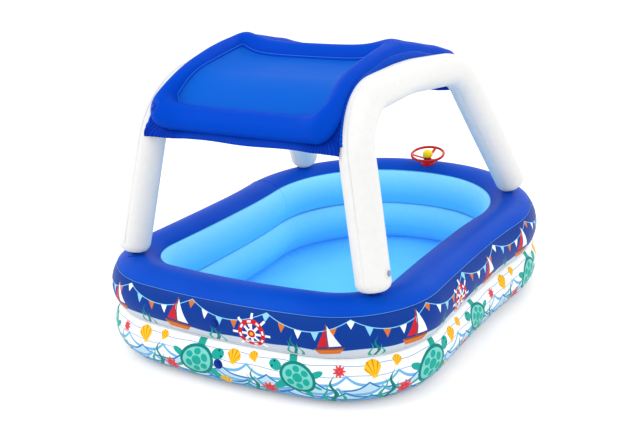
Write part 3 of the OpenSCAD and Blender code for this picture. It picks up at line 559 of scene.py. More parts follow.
def shade_piece():
    """The blown shade: two sheets that meet in the outer weld, laid out in rings round each flat panel."""
    name = "sunshade_air_body"
    points, faces, flat, base = [], [], [], 0
    inside, outside = np.linspace(0.05, 1, 18)[:-1], (1 - np.cos(np.pi * np.linspace(0, 1, 27))) / 2
    share = np.repeat([1.0, 0.0], [len(inside) + 1, len(outside) - 1])
    for panel in PANELS:
        weld, outer = panel_path(panel), frame_path(panel)
        centre = np.array([(panel[0] + panel[1]) / 2, 0.0])
        rings = np.concatenate([centre + (weld - centre) * inside[:, None, None],
            weld + (outer - weld) * outside[:, None, None]])
        s, x = rings[..., 0], rings[..., 1]
        top, bottom = top_sheet(s, x), bottom_sheet(s, x)
        rim = (np.abs(s[-1] - RIDGE_S) > 1e-6) | (np.abs(x[-1]) > sheet_half(RIDGE_S) - 1e-6)
        middle = (top[-1] + bottom[-1]) / 2
        for sheet, lift in ((top, SHEET_LIFT), (bottom, -SHEET_LIFT)):
            sheet[-1] = np.where(rim[:, None], middle, sheet[-1])
            rows, n = s.shape
            points += [sheet.reshape(-1, 3), shade_point(*centre, float(sheet_height(*centre)) + lift).reshape(1, 3)]
            flat += [np.repeat(share, n), [1.0]]
            faces += grid_faces(rows, n, wrap_columns=True, start=base)
            faces += fan_faces(base + rows * n, base, n)
            base += rows * n + 1
    mesh = bpy.data.meshes.new(name)
    mesh.from_pydata(np.concatenate(points).tolist(), [], faces)
    # 1 on the two flat panels, 0 on the tubes.
    add_values(mesh, "panel", np.concatenate(flat))
    work = bmesh.new()
    work.from_mesh(mesh)
    bmesh.ops.remove_doubles(work, verts=work.verts, dist=1e-6)
    bmesh.ops.recalc_face_normals(work, faces=work.faces)
    work.to_mesh(mesh)
    work.free()
    mesh.polygons.foreach_set("use_smooth", [True] * len(mesh.polygons))
    mesh.materials.append(MATERIALS["shade_blue"])
    finish_piece(link(name, mesh), "sunshade", ["shade_top_sheet", "shade_bottom_sheet"])


def skirt_piece(name, node, end, sign, hangs):
    """The loose film outside the end tube's weld. It hangs down in front, and fans out in pleats at both corners."""
    rows, straight_steps, turn_steps, r = 12, 149, 130, FRAME_CORNER
    h1 = float(sheet_half(end + sign * r))
    reach = float(weld_x(end)) + 0.002
    straight = np.linspace(0, h1 - r, straight_steps + 1)[:-1]
    a = np.linspace(0, np.pi / 2, turn_steps)
    # Right half, from the middle: the weld's path, and the hem's.
    weld_s = np.concatenate([np.full(straight_steps, end), end + sign * (r - r * np.cos(a))])
    weld = np.stack([weld_s, np.concatenate([straight, h1 - r + r * np.sin(a)])], 1)
    out, back = np.minimum(1, a / (np.pi / 2) / 0.55), np.maximum(0, (a / (np.pi / 2) - 0.55) / 0.45)
    hem_x = np.concatenate([straight, h1 - r + (reach - h1 + r) * out - 0.006 * back])
    hem_s = np.concatenate([np.full(straight_steps, end), end + sign * r * 1.25 * back ** 1.2])
    hang = np.concatenate([np.ones(straight_steps), np.cos(back * np.pi / 2) ** 1.3])
    pleated = np.clip((np.concatenate([straight, np.full(turn_steps, h1)]) - (h1 - r - 0.075)) / 0.06, 0, 1)
    both = lambda v, flip=1: np.concatenate([flip * v[:0:-1], v])
    s_top, s_hem, hang, pleated = (both(v) for v in (weld_s, hem_s, hang, pleated))
    x_top, x_hem, run = (both(v, -1) for v in (weld[:, 1], hem_x, run_along(weld)))
    x_hem = x_hem - 0.010 * (x_hem / reach) ** 4
    top = shade_point(s_top, x_top, edge_height(s_top, x_top))
    beside = np.abs(x_hem) > sheet_half(s_hem)
    hem = shade_point(s_hem, x_hem, edge_height(s_hem, x_hem) - 0.010 * beside)
    hem[:, 1] -= sign * hang * (0.0138 + 0.008 * (x_hem / reach) ** 4 + 0.0026 * np.sin(run * 21 + 1.5 * sign))
    hem[:, 2] -= hang * hangs * (1 + 0.08 * np.sin(run * 13 + sign) + 0.12 * pleated)
    d = np.linspace(0, 1, rows)[:, None]
    outward = np.sin(np.pi / 2 * np.minimum(1, d * 1.1))
    points = top[None] + (hem - top)[None] * np.stack([outward, outward, d], -1)
    normal = np.cross(np.gradient(points, axis=1), np.gradient(points, axis=0))
    normal *= sign / np.maximum(np.linalg.norm(normal, axis=-1), 1e-9)[..., None]
    turn = run / 0.0105
    # Sharp-backed pleats with round valleys at the corners, a shallow crimp between them.
    pleats = 1 - np.abs(np.sin(np.pi * (turn + 0.30 * np.sin(0.9 * turn) + 0.15 * d))) ** 0.75
    pleats = pleats * (0.8 + 0.2 * np.sin(turn * 1.7)) * pleated
    shallow = 0.5 + 0.5 * ripple(run + 2, 4.0, 0.015, 1.0 + sign)
    crimp = np.sin(np.pi * np.minimum(1, d * 1.2 + 0.1)) ** 2
    depth = 0.0062 * pleats * d ** 0.6 * (1 - 0.3 * d) + 0.0012 * shallow * (1 - pleated) * crimp
    points = points + normal * depth[..., None]
    faces = [f[::sign] for f in grid_faces(rows, points.shape[1])]
    piece = new_piece(name, points, faces, "sunshade", "skirt_film", [node])
    thicken(piece, 0.0)
    # Painted shade: the ridge value, painted darker where it is low, follows the pleats' height, falls towards the weld
    # under the tube, and stays middling over the shallow crimp.
    add_values(piece.data, "ridge", pleats * np.minimum(1, d / 0.25) + (0.35 + 0.25 * shallow) * (1 - pleated))


def strips_piece():
    """The flat weld strips between the shade and each arch, crimped across, their free edges cut in small scallops."""
    rows, columns = 900, 8
    s = np.linspace(0, SHADE_LENGTH, rows)[:, None]
    t = np.linspace(0, 1, columns)[None, :]
    points, painted_shade_ridge, faces = [], [], []
    for side in (1, -1):
        teeth = 0.5 + 0.5 * np.cos(2 * np.pi * s / 0.0135 + 0.8 * np.sin(9 * s + side))
        x = sheet_half(s) + 0.0002 + (SIDE_STRIP + 0.0045 - 0.0028 * teeth) * t
        rise = side_rise(s) + (WELD_RISE - side_rise(s)) * np.minimum(1, t * 1.25)
        lift = 0.0012 + 0.0016 * t * teeth + 0.0035 * np.sin(np.pi * t) * np.linspace(1, 0.6, columns)[None, :]
        faces += [f[::-side] for f in grid_faces(rows, columns, start=len(points) * rows * columns)]
        points.append(shade_point(s, side * x, rise + lift))
        # Painted shade: the values fall towards the arch and between the scallops, and those places are painted darker.
        painted_shade_ridge.append(0.80 * (1 - t) + t * (0.25 + 0.75 * teeth))
    piece = new_piece("shade_side_welds", points, faces, "sunshade", "skirt_film", ["shade_side_strips"])
    add_values(piece.data, "ridge", painted_shade_ridge)
    thicken(piece)


def floor_piece():
    """The floor sheet lies nearly flat, with low puckers that run in from the wall."""
    rows = 46
    rim = RING_P + RING_N * math.sqrt(RING ** 2 - (LOWER_RING - 0.0015) ** 2)
    f = (1 - (1 - np.linspace(0, 1, rows + 1)[1:]) ** 1.25)[:, None]
    x, y = rim[None, :, 0] * f, rim[None, :, 1] * f
    wall = np.hypot(rim[None, :, 0] - x, rim[None, :, 1] - y)
    shape = 0.5 + 0.25 * np.sin(7.1 * x + 3.3 * y) + 0.25 * np.sin(4.7 * y - 9.2 * x + 1.1)
    pucker = (0.5 + 0.5 * ripple(RING_RUN[None, :], PERIMETER, 0.060, 0.9)) * bump(wall - 0.10, 0.075)
    z = 0.0024 + (0.0022 * shape + 0.0042 * pucker) * np.minimum(1, wall / 0.05)
    points = np.concatenate([np.stack([x, y, z], -1).reshape(-1, 3), [[0, 0, 0.0040]]])
    faces = grid_faces(rows, STATIONS, wrap_columns=True) + fan_faces(rows * STATIONS, 0, STATIONS)
    thicken(new_piece("pool_floor", points, faces, "pool", "floor_blue", ["floor_sheet"]))


# ---- small draped pieces: place(a, b, lift) gives the points of the skin they lie on ---------------------------
def draped_disc(name, place, bore, rim, ribs, body, look, node):
    """A welded flange: a ring of film from its bore to its rim."""
    r = np.concatenate([[bore, bore], np.linspace(bore + 0.0006, rim - 0.0012, 8), [rim - 0.0004, rim]])[:, None]
    lift = FLANGE_LIFT * np.concatenate([[0, 0.9], np.ones(8), [0.7, 0.0]])[:, None]
    theta = np.linspace(0, 2 * np.pi, 72, endpoint=False)[None, :]
    ribbed = 0.0002 * np.sin(ribs * theta) * (r > bore) * (r < rim)
    points = place(r * np.cos(theta), r * np.sin(theta), lift + ribbed)
    back = place(r[[0, -1]] * np.cos(theta), r[[0, -1]] * np.sin(theta), np.full((2, 1), -0.0004))
    points = np.concatenate([back[:1], points, back[1:]])
    faces = grid_faces(*points.shape[:2], wrap_rows=True, wrap_columns=True)
    new_piece(name, points, faces, body, look, [node])


def at_stern(height):
    def place(a, b, lift):
        out = np.sqrt(RING ** 2 - b ** 2) - RING + lift
        y = -POOL_LENGTH / 2 + a ** 2 / (2 * STERN_EDGE) - out
        return np.stack([a, y, height + b * (1 + lift / RING)], -1)
    return place


def on_ring_top(cx, cy):
    def place(a, b, lift):
        x, y = cx + a, cy + b
        off = np.min(np.hypot(RING_P[:, 0] - x[..., None], RING_P[:, 1] - y[..., None]), axis=-1)
        return np.stack([x, y, UPPER_RING + np.sqrt(np.maximum(RING ** 2 - off ** 2, 0)) + lift], -1)
    return place


def on_leg(side):
    at = FRONT_FOOT + FRONT_UP * 0.030

    def place(a, b, lift):
        y = at[0] + FRONT_UP[0] * a * side - FRONT_UP[1] * b
        rise = at[1] + FRONT_UP[1] * a * side + FRONT_UP[0] * b
        return arch_place(side, y, rise, np.sqrt(TUBE ** 2 - b ** 2) + lift)
    return place


def on_shade(a, b, lift):
    return top_sheet(VALVE_S + b, VALVE_X + a, SHEET_LIFT + lift)


# ---- materials -------------------------------------------------------------------------------------------------
class Tree:
    """Short words for building a shader or geometry tree."""

    def __init__(self, tree):
        self.tree = tree

    def node(self, kind, **settings):
        """A node: settings in lower case are its own, the others are its inputs."""
        n = self.tree.nodes.new(kind)
        for k, v in settings.items():
            if k[0].islower():
                setattr(n, k, v)
            else:
                self.feed(n.inputs[k.replace("_", " ")], v)
        return n

    def feed(self, socket, value):
        if isinstance(value, bpy.types.NodeSocket):
            self.tree.links.new(value, socket)
        elif value is not None:
            socket.default_value = value

    def math(self, operation, *values):
        n = self.node("ShaderNodeMath", operation=operation)
        for socket, value in zip(n.inputs, values):
            self.feed(socket, value)
        return n.outputs[0]

    def kept(self, value, low=0.0):
        return self.lower(self.higher(value, low), 1.0)

    def near(self, a, b, width):
        """1 where two values are within a width of each other."""
        return self.less(self.size(self.minus(a, b)), width)

    def between(self, value, low, high):
        return self.times(self.less(value, high), self.more(value, low))

    def either(self, first, *others):
        for mask in others:
            first = self.higher(first, mask)
        return first

    def vector(self, operation, a, b=None):
        n = self.node("ShaderNodeVectorMath", operation=operation)
        self.feed(n.inputs[0], a)
        self.feed(n.inputs[1], b)
        return n.outputs["Value"]

    def split(self, vector):
        return self.node("ShaderNodeSeparateXYZ", Vector=vector).outputs

    def scaled(self, colour, factor):
        n = self.node("ShaderNodeVectorMath", operation="SCALE", Scale=factor)
        self.feed(n.inputs[0], colour)
        return n.outputs[0]

    def mix(self, share, a, b):
        n = self.node("ShaderNodeMix", data_type="RGBA")
        for k, value in ((0, share), (6, a), (7, b)):
            self.feed(n.inputs[k], value)
        return n.outputs[2]

    def noise(self, point, scale, detail=3.0, roughness=0.5):
        n = self.node("ShaderNodeTexNoise", Vector=point, Scale=scale, Detail=detail, Roughness=roughness)
        return n.outputs["Fac"]

    def bump(self, height, strength, distance, normal=None):
        n = self.node("ShaderNodeBump", Height=height, Strength=strength, Distance=distance, Normal=normal)
        return n.outputs[0]

    def here(self):
        return self.node("ShaderNodeTexCoord").outputs["Object"]

    def film_place(self):
        """Metres along a band, and metres along its section."""
        return self.node("ShaderNodeUVMap", uv_map="film").outputs[0]

    def value(self, name):
        return self.node("ShaderNodeAttribute", attribute_name=name).outputs["Fac"]

    def group(self, tree, **values):
        return self.node("ShaderNodeGroup", node_tree=tree, **values).outputs


for word, operation in {"plus": "ADD", "minus": "SUBTRACT", "times": "MULTIPLY", "over": "DIVIDE", "wrap": "WRAP",
        "times_plus": "MULTIPLY_ADD", "less": "LESS_THAN", "more": "GREATER_THAN", "lower": "MINIMUM",
        "higher": "MAXIMUM", "size": "ABSOLUTE", "sine": "SINE", "cosine": "COSINE"}.items():
    setattr(Tree, word, partialmethod(Tree.math, operation))


def new_group(name, inputs, outputs):
    tree = bpy.data.node_groups.new(name, "ShaderNodeTree")
    for label, (kind, value) in inputs.items():
        socket = tree.interface.new_socket(name=label, in_out="INPUT", socket_type="NodeSocket" + kind)
        if value is not None:
            socket.default_value = value
    for label, kind in outputs.items():
        tree.interface.new_socket(name=label, in_out="OUTPUT", socket_type="NodeSocket" + kind)
    t = Tree(tree)
    return t, t.node("NodeGroupInput").outputs, t.node("NodeGroupOutput").inputs


SURFACE = {"Colour": "Color", "Roughness": "Float", "Normal": "Vector"}


def film_group():
    """Soft film under air: slow changes of tone, a fine grain, dust and a gentle waviness."""
    t, given, out = new_group("blown_film", {"Colour": ("Color", (0.5, 0.5, 0.5, 1)),
        "Tone": ("Color", (0.4, 0.4, 0.4, 1)), "Roughness": ("Float", 0.3), "Waviness": ("Float", 0.15),
        "Grain": ("Float", 0.05)}, SURFACE)
    place = t.here()
    fine = t.noise(place, 38.0, 4.0, 0.6)
    share = t.times_plus(t.noise(place, 2.6, 2.0), 1.7, -0.42)
    tone = t.mix(t.kept(share), given["Colour"], given["Tone"])
    t.feed(out["Colour"], t.scaled(tone, t.times_plus(fine, 0.10, 0.95)))
    t.feed(out["Roughness"], t.kept(t.plus(given["Roughness"], t.times_plus(fine, 0.16, -0.08)), 0.05))
    wave = t.bump(t.noise(place, 14.0, 2.0, 0.45), given["Waviness"], 0.004)
    t.feed(out["Normal"], t.bump(t.noise(place, 900.0, 2.0, 0.5), given["Grain"], 0.0003, wave))
    return t.tree


def moulded_group():
    """Hard moulded plastic: faint flow marks, rubbed high spots and a fine grain."""
    t, given, out = new_group("moulded_plastic", {"Colour": ("Color", (0.5, 0.5, 0.5, 1)), "Roughness": ("Float", 0.3),
        "Rub": ("Float", 0.3)}, SURFACE)
    place = t.here()
    marks = t.noise(place, 55.0, 4.0, 0.6)
    t.feed(out["Colour"], t.scaled(given["Colour"], t.times_plus(t.noise(place, 16.0, 3.0, 0.5), 0.24, 0.88)))
    t.feed(out["Roughness"], t.kept(t.plus(given["Roughness"], t.times(t.minus(marks, 0.5), given["Rub"])), 0.05))
    t.feed(out["Normal"], t.bump(t.noise(place, 420.0, 3.0, 0.6), 0.06, 0.0004))
    return t.tree


FILM, MOULDED = film_group(), moulded_group()


def rgb(r, g, b):
    """A colour given as it looks on a screen, 0 to 255."""
    lin = lambda c: c / 255 / 12.92 if c <= 10 else ((c / 255 + 0.055) / 1.055) ** 2.4
    return (lin(r), lin(g), lin(b), 1)


def new_material(name):
    material = bpy.data.materials.new(name)
    material.use_nodes = True
    material.node_tree.nodes.clear()
    return material, Tree(material.node_tree)


def film(name, colour, tone=None, roughness=0.42, waviness=0.16, gloss=0.07, bounce=0.5, glow=None):
    """Film of one colour that drifts to another tone, or whose colour is a function that draws a pattern."""
    material, t = new_material(name)
    base, tone = (rgb(*colour), rgb(*tone)) if tone else (colour(t),) * 2
    toned = t.group(FILM, Colour=base, Tone=tone, Roughness=roughness, Waviness=waviness)
    # Light that bounces off a film on to its neighbours is paler than the film, so that white stays white beside blue.
    bounced = t.times(t.node("ShaderNodeLightPath").outputs["Is Diffuse Ray"], bounce)
    shader = t.node("ShaderNodeBsdfPrincipled", Base_Color=t.mix(bounced, toned["Colour"], (0.50, 0.53, 0.56, 1)),
        Roughness=toned["Roughness"], Normal=toned["Normal"], Specular_IOR_Level=gloss)
    if glow:
        # Painted glow: the film gets a faint emission that stands in for daylight coming through it from the air
        # inside.
        shader.inputs["Emission Color"].default_value = (*glow, 1)
        shader.inputs["Emission Strength"].default_value = 1.0
    t.node("ShaderNodeOutputMaterial", Surface=shader.outputs[0])
    return material


def moulded(name, colour, roughness, rub=0.2, coat=0.0):
    material, t = new_material(name)
    toned = t.group(MOULDED, Colour=rgb(*colour), Roughness=roughness, Rub=rub)
    shader = t.node("ShaderNodeBsdfPrincipled", Base_Color=toned["Colour"], Roughness=toned["Roughness"],
        Normal=toned["Normal"], Coat_Weight=coat, Specular_IOR_Level=0.25)
    t.node("ShaderNodeOutputMaterial", Surface=shader.outputs[0])
    return material


# ---- printed pattern -------------------------------------------------------------------------------------------
class Ink(Tree):
    """Flat shapes printed on the bands, drawn on a point in units of one motif."""

    def __init__(self, tree, point):
        super().__init__(tree)
        self.point = point
        self.x, self.y = self.split(point)[:2]
        self.colour, self.mask = None, None

    def ellipse(self, x, y, rx, ry, turn=0.0):
        moved = self.node("ShaderNodeMapping", vector_type="TEXTURE", Vector=self.point, Location=(x, y, 0),
            Rotation=(0, 0, math.radians(turn)), Scale=(rx, ry, 1))
        return self.less(self.vector("LENGTH", moved.outputs[0]), 1.0)

    def ellipses(self, *shapes):
        return self.either(*(self.ellipse(*shape) for shape in shapes))

    def polygon(self, *corners):
        """A convex shape, its corners counter-clockwise."""
        sides = []
        for (x0, y0), (x1, y1) in zip(corners, corners[1:] + corners[:1]):
            size = math.hypot(x1 - x0, y1 - y0)
            nx, ny = (y1 - y0) / size, (x0 - x1) / size
            sides.append(self.minus(self.vector("DOT_PRODUCT", self.point, (nx, ny, 0)), nx * x0 + ny * y0))
        return self.less(self.either(*sides), 0.0)

    def polar(self):
        return self.vector("LENGTH", self.point), self.math("ARCTAN2", self.y, self.x)

    def waves(self, value, count):
        return self.sine(self.times(value, count))

    def lay(self, ink, *masks):
        mask = self.either(*masks)
        if self.mask is None:
            colour = self.node("ShaderNodeRGB")
            colour.outputs[0].default_value = INK[ink]
            self.colour, self.mask = colour.outputs[0], mask
        else:
            self.colour, self.mask = self.mix(mask, self.colour, INK[ink]), self.either(self.mask, mask)


INK = {name: rgb(*colour) for name, colour in {
    "teal": (30, 166, 152), "deep_teal": (14, 128, 124), "pale_teal": (120, 208, 196), "orange": (214, 116, 44),
    "brown": (150, 74, 34), "red": (206, 34, 44), "coral": (222, 84, 92), "yellow": (250, 196, 40),
    "amber": (226, 140, 20), "white": (244, 248, 250), "grey": (205, 211, 222), "rope": (140, 208, 240),
    "navy": (10, 58, 146), "dark": (20, 28, 60), "wave": (110, 180, 224), "deep_wave": (48, 124, 190),
    "pale_wave": (190, 222, 240)}.items()}


def draw_turtle(k):
    k.lay("teal", k.ellipses((0.46, 0.56, 0.44, 0.15, 58), (0.46, -0.56, 0.44, 0.15, -58),
        (-0.58, 0.44, 0.27, 0.12, -48), (-0.58, -0.44, 0.27, 0.12, 48), (0.95, 0, 0.25, 0.19), (-0.82, 0, 0.16, 0.06)))
    k.lay("deep_teal", k.ellipse(0, 0, 0.72, 0.56))
    k.lay("pale_teal", k.ellipse(0, 0, 0.60, 0.45))
    k.lay("teal", k.ellipses((0, 0, 0.19, 0.17), (0.36, 0, 0.13, 0.14), (-0.36, 0, 0.13, 0.14),
        (0.18, 0.27, 0.14, 0.11), (0.18, -0.27, 0.14, 0.11), (-0.18, 0.27, 0.14, 0.11), (-0.18, -0.27, 0.14, 0.11)))
    k.lay("dark", k.ellipses((1.04, 0.10, 0.035, 0.035), (1.04, -0.10, 0.035, 0.035)))


def draw_boat(k):
    k.lay("white", k.polygon((0.06, -0.28), (0.80, -0.28), (0.06, 1.0)))
    k.lay("red", k.polygon((-0.66, -0.28), (-0.06, -0.28), (-0.06, 0.84)))
    k.lay("brown", k.polygon((-0.03, -0.5), (0.03, -0.5), (0.03, 1.08), (-0.03, 1.08)))
    k.lay("orange", k.polygon((-0.62, -0.86), (0.62, -0.86), (0.96, -0.40), (-0.90, -0.40)))
    k.lay("brown", k.polygon((-0.74, -0.52), (0.88, -0.52), (0.96, -0.40), (-0.90, -0.40)))


def draw_helm(k):
    r, a = k.polar()
    spokes = k.less(k.times(k.size(k.waves(a, 4.0)), r), 0.24)
    k.lay("white", k.times(spokes, k.less(r, 1.0)))
    k.lay("red", k.between(r, 0.50, 0.72))
    k.lay("white", k.times(k.more(k.waves(a, 8.0), 0.25), k.between(r, 0.56, 0.66)))
    k.lay("red", k.less(r, 0.20))
    k.lay("yellow", k.less(r, 0.09))


def draw_shell(k):
    wedge = k.polygon((-0.12, -0.9), (0.12, -0.9), (1.3, 0.5), (1.3, 1.5), (-1.3, 1.5), (-1.3, 0.5))
    fan = k.times(k.ellipse(0, 0.05, 0.86, 0.84), wedge)
    k.lay("yellow", fan, k.polygon((-0.34, -0.92), (0.34, -0.92), (0.16, -0.6), (-0.16, -0.6)))
    rib = k.more(k.waves(k.math("ARCTAN2", k.x, k.plus(k.y, 0.9)), 17.0), 0.55)
    k.lay("amber", k.times(rib, k.times(fan, k.more(k.y, -0.62))))


def draw_urchin(k):
    r, a = k.polar()
    spines = k.cosine(k.times(a, 9.0))
    k.lay("coral", k.less(r, k.times_plus(spines, 0.18, 0.76)))
    k.lay("red", k.times(k.less(r, 0.46), k.more(spines, -0.2)))
    k.lay("coral", k.less(r, 0.16))


def draw_weed(k):
    """Three wavy fronds."""
    masks = []
    for x, top, phase in ((-0.42, 0.55, 0.4), (0.0, 1.0, 2.2), (0.40, 0.35, 4.0)):
        bend = k.times(k.sine(k.times_plus(k.y, 5.2, phase)), 0.13)
        width = k.lower(k.times(k.minus(top, k.y), 0.11), 0.12)
        masks.append(k.times(k.near(k.minus(k.x, x), bend, width), k.more(k.y, -1.0)))
    k.lay("teal", masks[0], masks[2])
    k.lay("deep_teal", masks[1])


def motif(name, draw):
    t, given, out = new_group("print_" + name, {"Point": ("Vector", None)}, {"Colour": "Color", "Mask": "Float"})
    ink = Ink(t.tree, given["Point"])
    draw(ink)
    t.feed(out["Colour"], ink.colour)
    t.feed(out["Mask"], ink.mask)
    return t.tree


def place_group():
    """The point of a motif's own drawing, repeated at an even distance along the band."""
    t, given, out = new_group("print_place", {"Film": ("Vector", None), "Across": ("Float", 0.0), "Up": ("Float", 0.0),
        "Every": ("Float", 1.0), "Size": ("Float", 0.1), "Turn": ("Float", 0.0)}, {"Point": "Vector"})
    u, v, _ = t.split(given["Film"])
    half = t.times(given["Every"], 0.5)
    x = t.wrap(t.minus(u, given["Across"]), half, t.times(half, -1.0))
    y = t.minus(v, given["Up"])
    join = t.node("ShaderNodeCombineXYZ", X=t.over(x, given["Size"]), Y=t.over(y, given["Size"]))
    rotate = t.node("ShaderNodeVectorRotate", rotation_type="Z_AXIS", Vector=join.outputs[0],
        Angle=t.times(given["Turn"], -1.0))
    t.feed(out["Point"], rotate.outputs[0])
    return t.tree


PLACE = place_group()
MOTIFS = {name: motif(name, draw) for name, draw in (("turtle", draw_turtle), ("boat", draw_boat),
    ("helm", draw_helm), ("shell", draw_shell), ("urchin", draw_urchin), ("weed", draw_weed))}
EVERY = PERIMETER / 6  # the print repeats six times round the pool


def print_motifs(t, colour, motifs):
    """Each motif is (drawing, place along, place up, half size, turn)."""
    uv = t.film_place()
    for drawing, along_band, up, size, turn in motifs:
        at = t.group(PLACE, Film=uv, Across=along_band, Up=up, Every=EVERY, Size=size, Turn=math.radians(turn))
        drawn = t.group(MOTIFS[drawing], Point=at[0])
        colour = t.mix(drawn["Mask"], colour, drawn["Colour"])
    return colour


def wavy(t, u, count, size, phase, middle):
    """Height of a smooth wave line that closes round the pool."""
    return t.times_plus(t.sine(t.times_plus(u, 2 * math.pi * count / EVERY, phase)), size, middle)


def rolling(t, u, count, size, phase, middle):
    """Height of a line of waves with pointed crests that closes round the pool."""
    turns = t.times_plus(u, math.pi * count / EVERY, phase)
    lean = t.times_plus(t.sine(t.times(turns, 2.0)), 0.28, turns)
    return t.times_plus(t.size(t.sine(lean)), -size, middle + size / 2)


def upper_print(t):
    """Navy band with a bunting line of pennants, ship's wheels and small boats, over a pale strip."""
    u, v, _ = t.split(t.film_place())
    strip = wavy(t, u, 4, 0.0035, 0.6, -0.048)
    # The pale strip's grey ink is painted shade: a white strip, darkened where it faces down under the ring's bulge.
    colour = t.mix(t.less(v, strip), INK["navy"], INK["grey"])
    colour = t.mix(t.near(v, strip, 0.0011), colour, INK["wave"])
    # Bunting: hanging swags between pegs, with pennants spaced well apart.
    half_swag = EVERY / 6
    k = t.over(t.math("PINGPONG", t.plus(u, half_swag), half_swag), half_swag)
    cord = t.times_plus(t.times(k, k), 0.050, 0.028)
    pitch = EVERY / 15
    drop = t.minus(cord, v)
    inside = t.less(t.size(t.wrap(u, pitch / 2, -pitch / 2)), t.times_plus(drop, -0.46, 0.0165))
    number = t.math("FLOORED_MODULO", t.math("ROUND", t.over(u, pitch)), 3.0)
    flag_colour = t.mix(t.more(number, 0.5), INK["white"], INK["rope"])
    flag_colour = t.mix(t.more(number, 1.5), flag_colour, INK["orange"])
    colour = t.mix(t.times(inside, t.more(drop, 0.0)), colour, flag_colour)
    colour = t.mix(t.near(v, cord, 0.0016), colour, INK["rope"])
    return print_motifs(t, colour, (
        ("weed", 0.10, -0.048, 0.060, 4), ("weed", 0.47, -0.050, 0.066, -6), ("weed", 0.82, -0.046, 0.058, 8),
        ("boat", 0.275, -0.006, 0.074, -4), ("helm", 0.64, -0.016, 0.084, 0), ("boat", 0.96, -0.010, 0.066, 5)))


def lower_print(t):
    """White band with rolling water, turtles, shells and urchins."""
    u, v, _ = t.split(t.film_place())
    colour = INK["white"]
    for level in (0.066, 0.024):
        line = wavy(t, u, 5, 0.003, level * 60, level)
        colour = t.mix(t.near(v, line, 0.0011), colour, INK["deep_wave"])
    # Rolling water: each sheet of waves has a bold upper edge and covers the one behind it.
    for count, size, phase, middle, ink, edge, width in (
            (5, 0.040, 0.4, 0.012, "white", "wave", 0.0130), (5, 0.034, 2.2, -0.016, "pale_wave", "deep_wave", 0.0085),
            (6, 0.034, 1.1, -0.036, "white", "wave", 0.0160), (5, 0.030, 3.6, -0.058, "pale_wave", "deep_wave", 0.0110),
            (6, 0.028, 5.0, -0.078, "wave", "deep_wave", 0.0110)):
        crest = rolling(t, u, count, size, phase, middle)
        colour = t.mix(t.less(v, crest), colour, INK[edge])
        colour = t.mix(t.less(v, t.minus(crest, width)), colour, INK[ink])
    return print_motifs(t, colour, (
        ("weed", 0.155, -0.040, 0.082, -5), ("weed", 0.635, -0.052, 0.074, 6), ("weed", 0.975, -0.044, 0.080, 2),
        ("turtle", 0.36, -0.006, 0.124, 24), ("turtle", 0.83, 0.006, 0.110, 158), ("shell", 0.545, 0.046, 0.036, -14),
        ("shell", 0.08, 0.050, 0.040, 10), ("shell", 0.635, 0.062, 0.024, 20), ("shell", 0.185, 0.066, 0.024, -20),
        ("urchin", 0.215, -0.062, 0.042, 10), ("urchin", 0.70, -0.070, 0.038, 40), ("urchin", 1.00, 0.046, 0.028, 0),
        ("shell", 0.49, -0.080, 0.032, 8)))


def panel_painted_light(t):
    """The flat panels are one film, which lets the light through; painted light makes them paler than the blown tubes.
    """
    return t.mix(t.value("panel"), rgb(0, 68, 192), rgb(12, 92, 200))


def valley_painted_shade(t):
    """Painted shade: crimped film is painted darker in its valleys."""
    return t.mix(t.math("POWER", t.value("ridge"), 1.4), rgb(1, 42, 156), rgb(6, 82, 208))


def inside_painted_light(t):
    """Painted light: the walls' film is painted paler towards its upper edge, standing in for the daylight that shines
    through it there.
    """
    v = t.split(t.film_place())[1]
    return t.mix(t.kept(t.times_plus(v, -7.0, 3.15)), rgb(92, 204, 255), rgb(146, 232, 255))


MATERIALS = {}
for name, settings in {
        "ring_blue": dict(colour=(0, 68, 188), tone=(2, 80, 198), waviness=0.20, gloss=0.05),
        "print_navy": dict(colour=upper_print),
        "print_white": dict(colour=lower_print),
        "inside_blue": dict(colour=inside_painted_light, waviness=0.12, bounce=0.0, glow=(0.026, 0.064, 0.110)),
        "floor_blue": dict(colour=(104, 212, 255), tone=(124, 222, 255), roughness=0.46, waviness=0.35, bounce=0.0,
            glow=(0.008, 0.036, 0.105)),
        "white_vinyl": dict(colour=(234, 232, 230), tone=(229, 228, 226), waviness=0.10),
        "shade_blue": dict(colour=panel_painted_light, roughness=0.44, gloss=0.02),
        "skirt_film": dict(colour=valley_painted_shade, waviness=0.2, gloss=0.03)}.items():
    MATERIALS[name] = film(name, **settings)
for name, colour, tone, roughness in (
        ("valve_blue", (8, 44, 134), (12, 56, 152), 0.34), ("flange_blue", (2, 62, 188), (10, 76, 200), 0.30),
        ("valve_grey", (150, 166, 200), (130, 150, 190), 0.34), ("seam_painted_highlight", (70, 124, 212), (90, 144, 226), 0.38),
        ("weld_blue", (8, 66, 192), (12, 78, 206), 0.38), ("weld_painted_highlight", (46, 116, 226), (60, 128, 232), 0.34),
        ("weld_light", (96, 196, 250), (80, 184, 244), 0.38), ("weld_white", (232, 235, 240), (222, 227, 235), 0.38)):
    MATERIALS[name] = film(name, colour, tone, roughness, waviness=0.1)
for name, settings in {"red_plastic": ((205, 6, 14), 0.26, 0.2, 0.1), "yellow_plastic": ((255, 222, 8), 0.30, 0.2, 0.1),
        "grey_plastic": ((150, 154, 160), 0.40, 0.3), "dark_rubber": ((36, 38, 44), 0.62)}.items():
    MATERIALS[name] = moulded(name, *settings)

# The CAD's own pieces take the look of the first word that their names hold.
LOOKS = {"spindle": "grey_plastic", "clip": "grey_plastic", "wheel": "red_plastic", "squeaker": "dark_rubber",
    "button": "yellow_plastic", "plugs": "valve_blue", "divider": "weld_light", "pockets": "ring_blue",
    "floor": "floor_blue", "arch_valve": "valve_grey", "shade_valve": "flange_blue", "valve": "valve_blue",
    "arch": "white_vinyl", "inner": "inside_blue", "shade": "skirt_film", "ring": "ring_blue"}
for node_name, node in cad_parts.items():
    node.data.materials.clear()
    node.data.materials.append(MATERIALS[next(look for word, look in LOOKS.items() if word in node_name)])


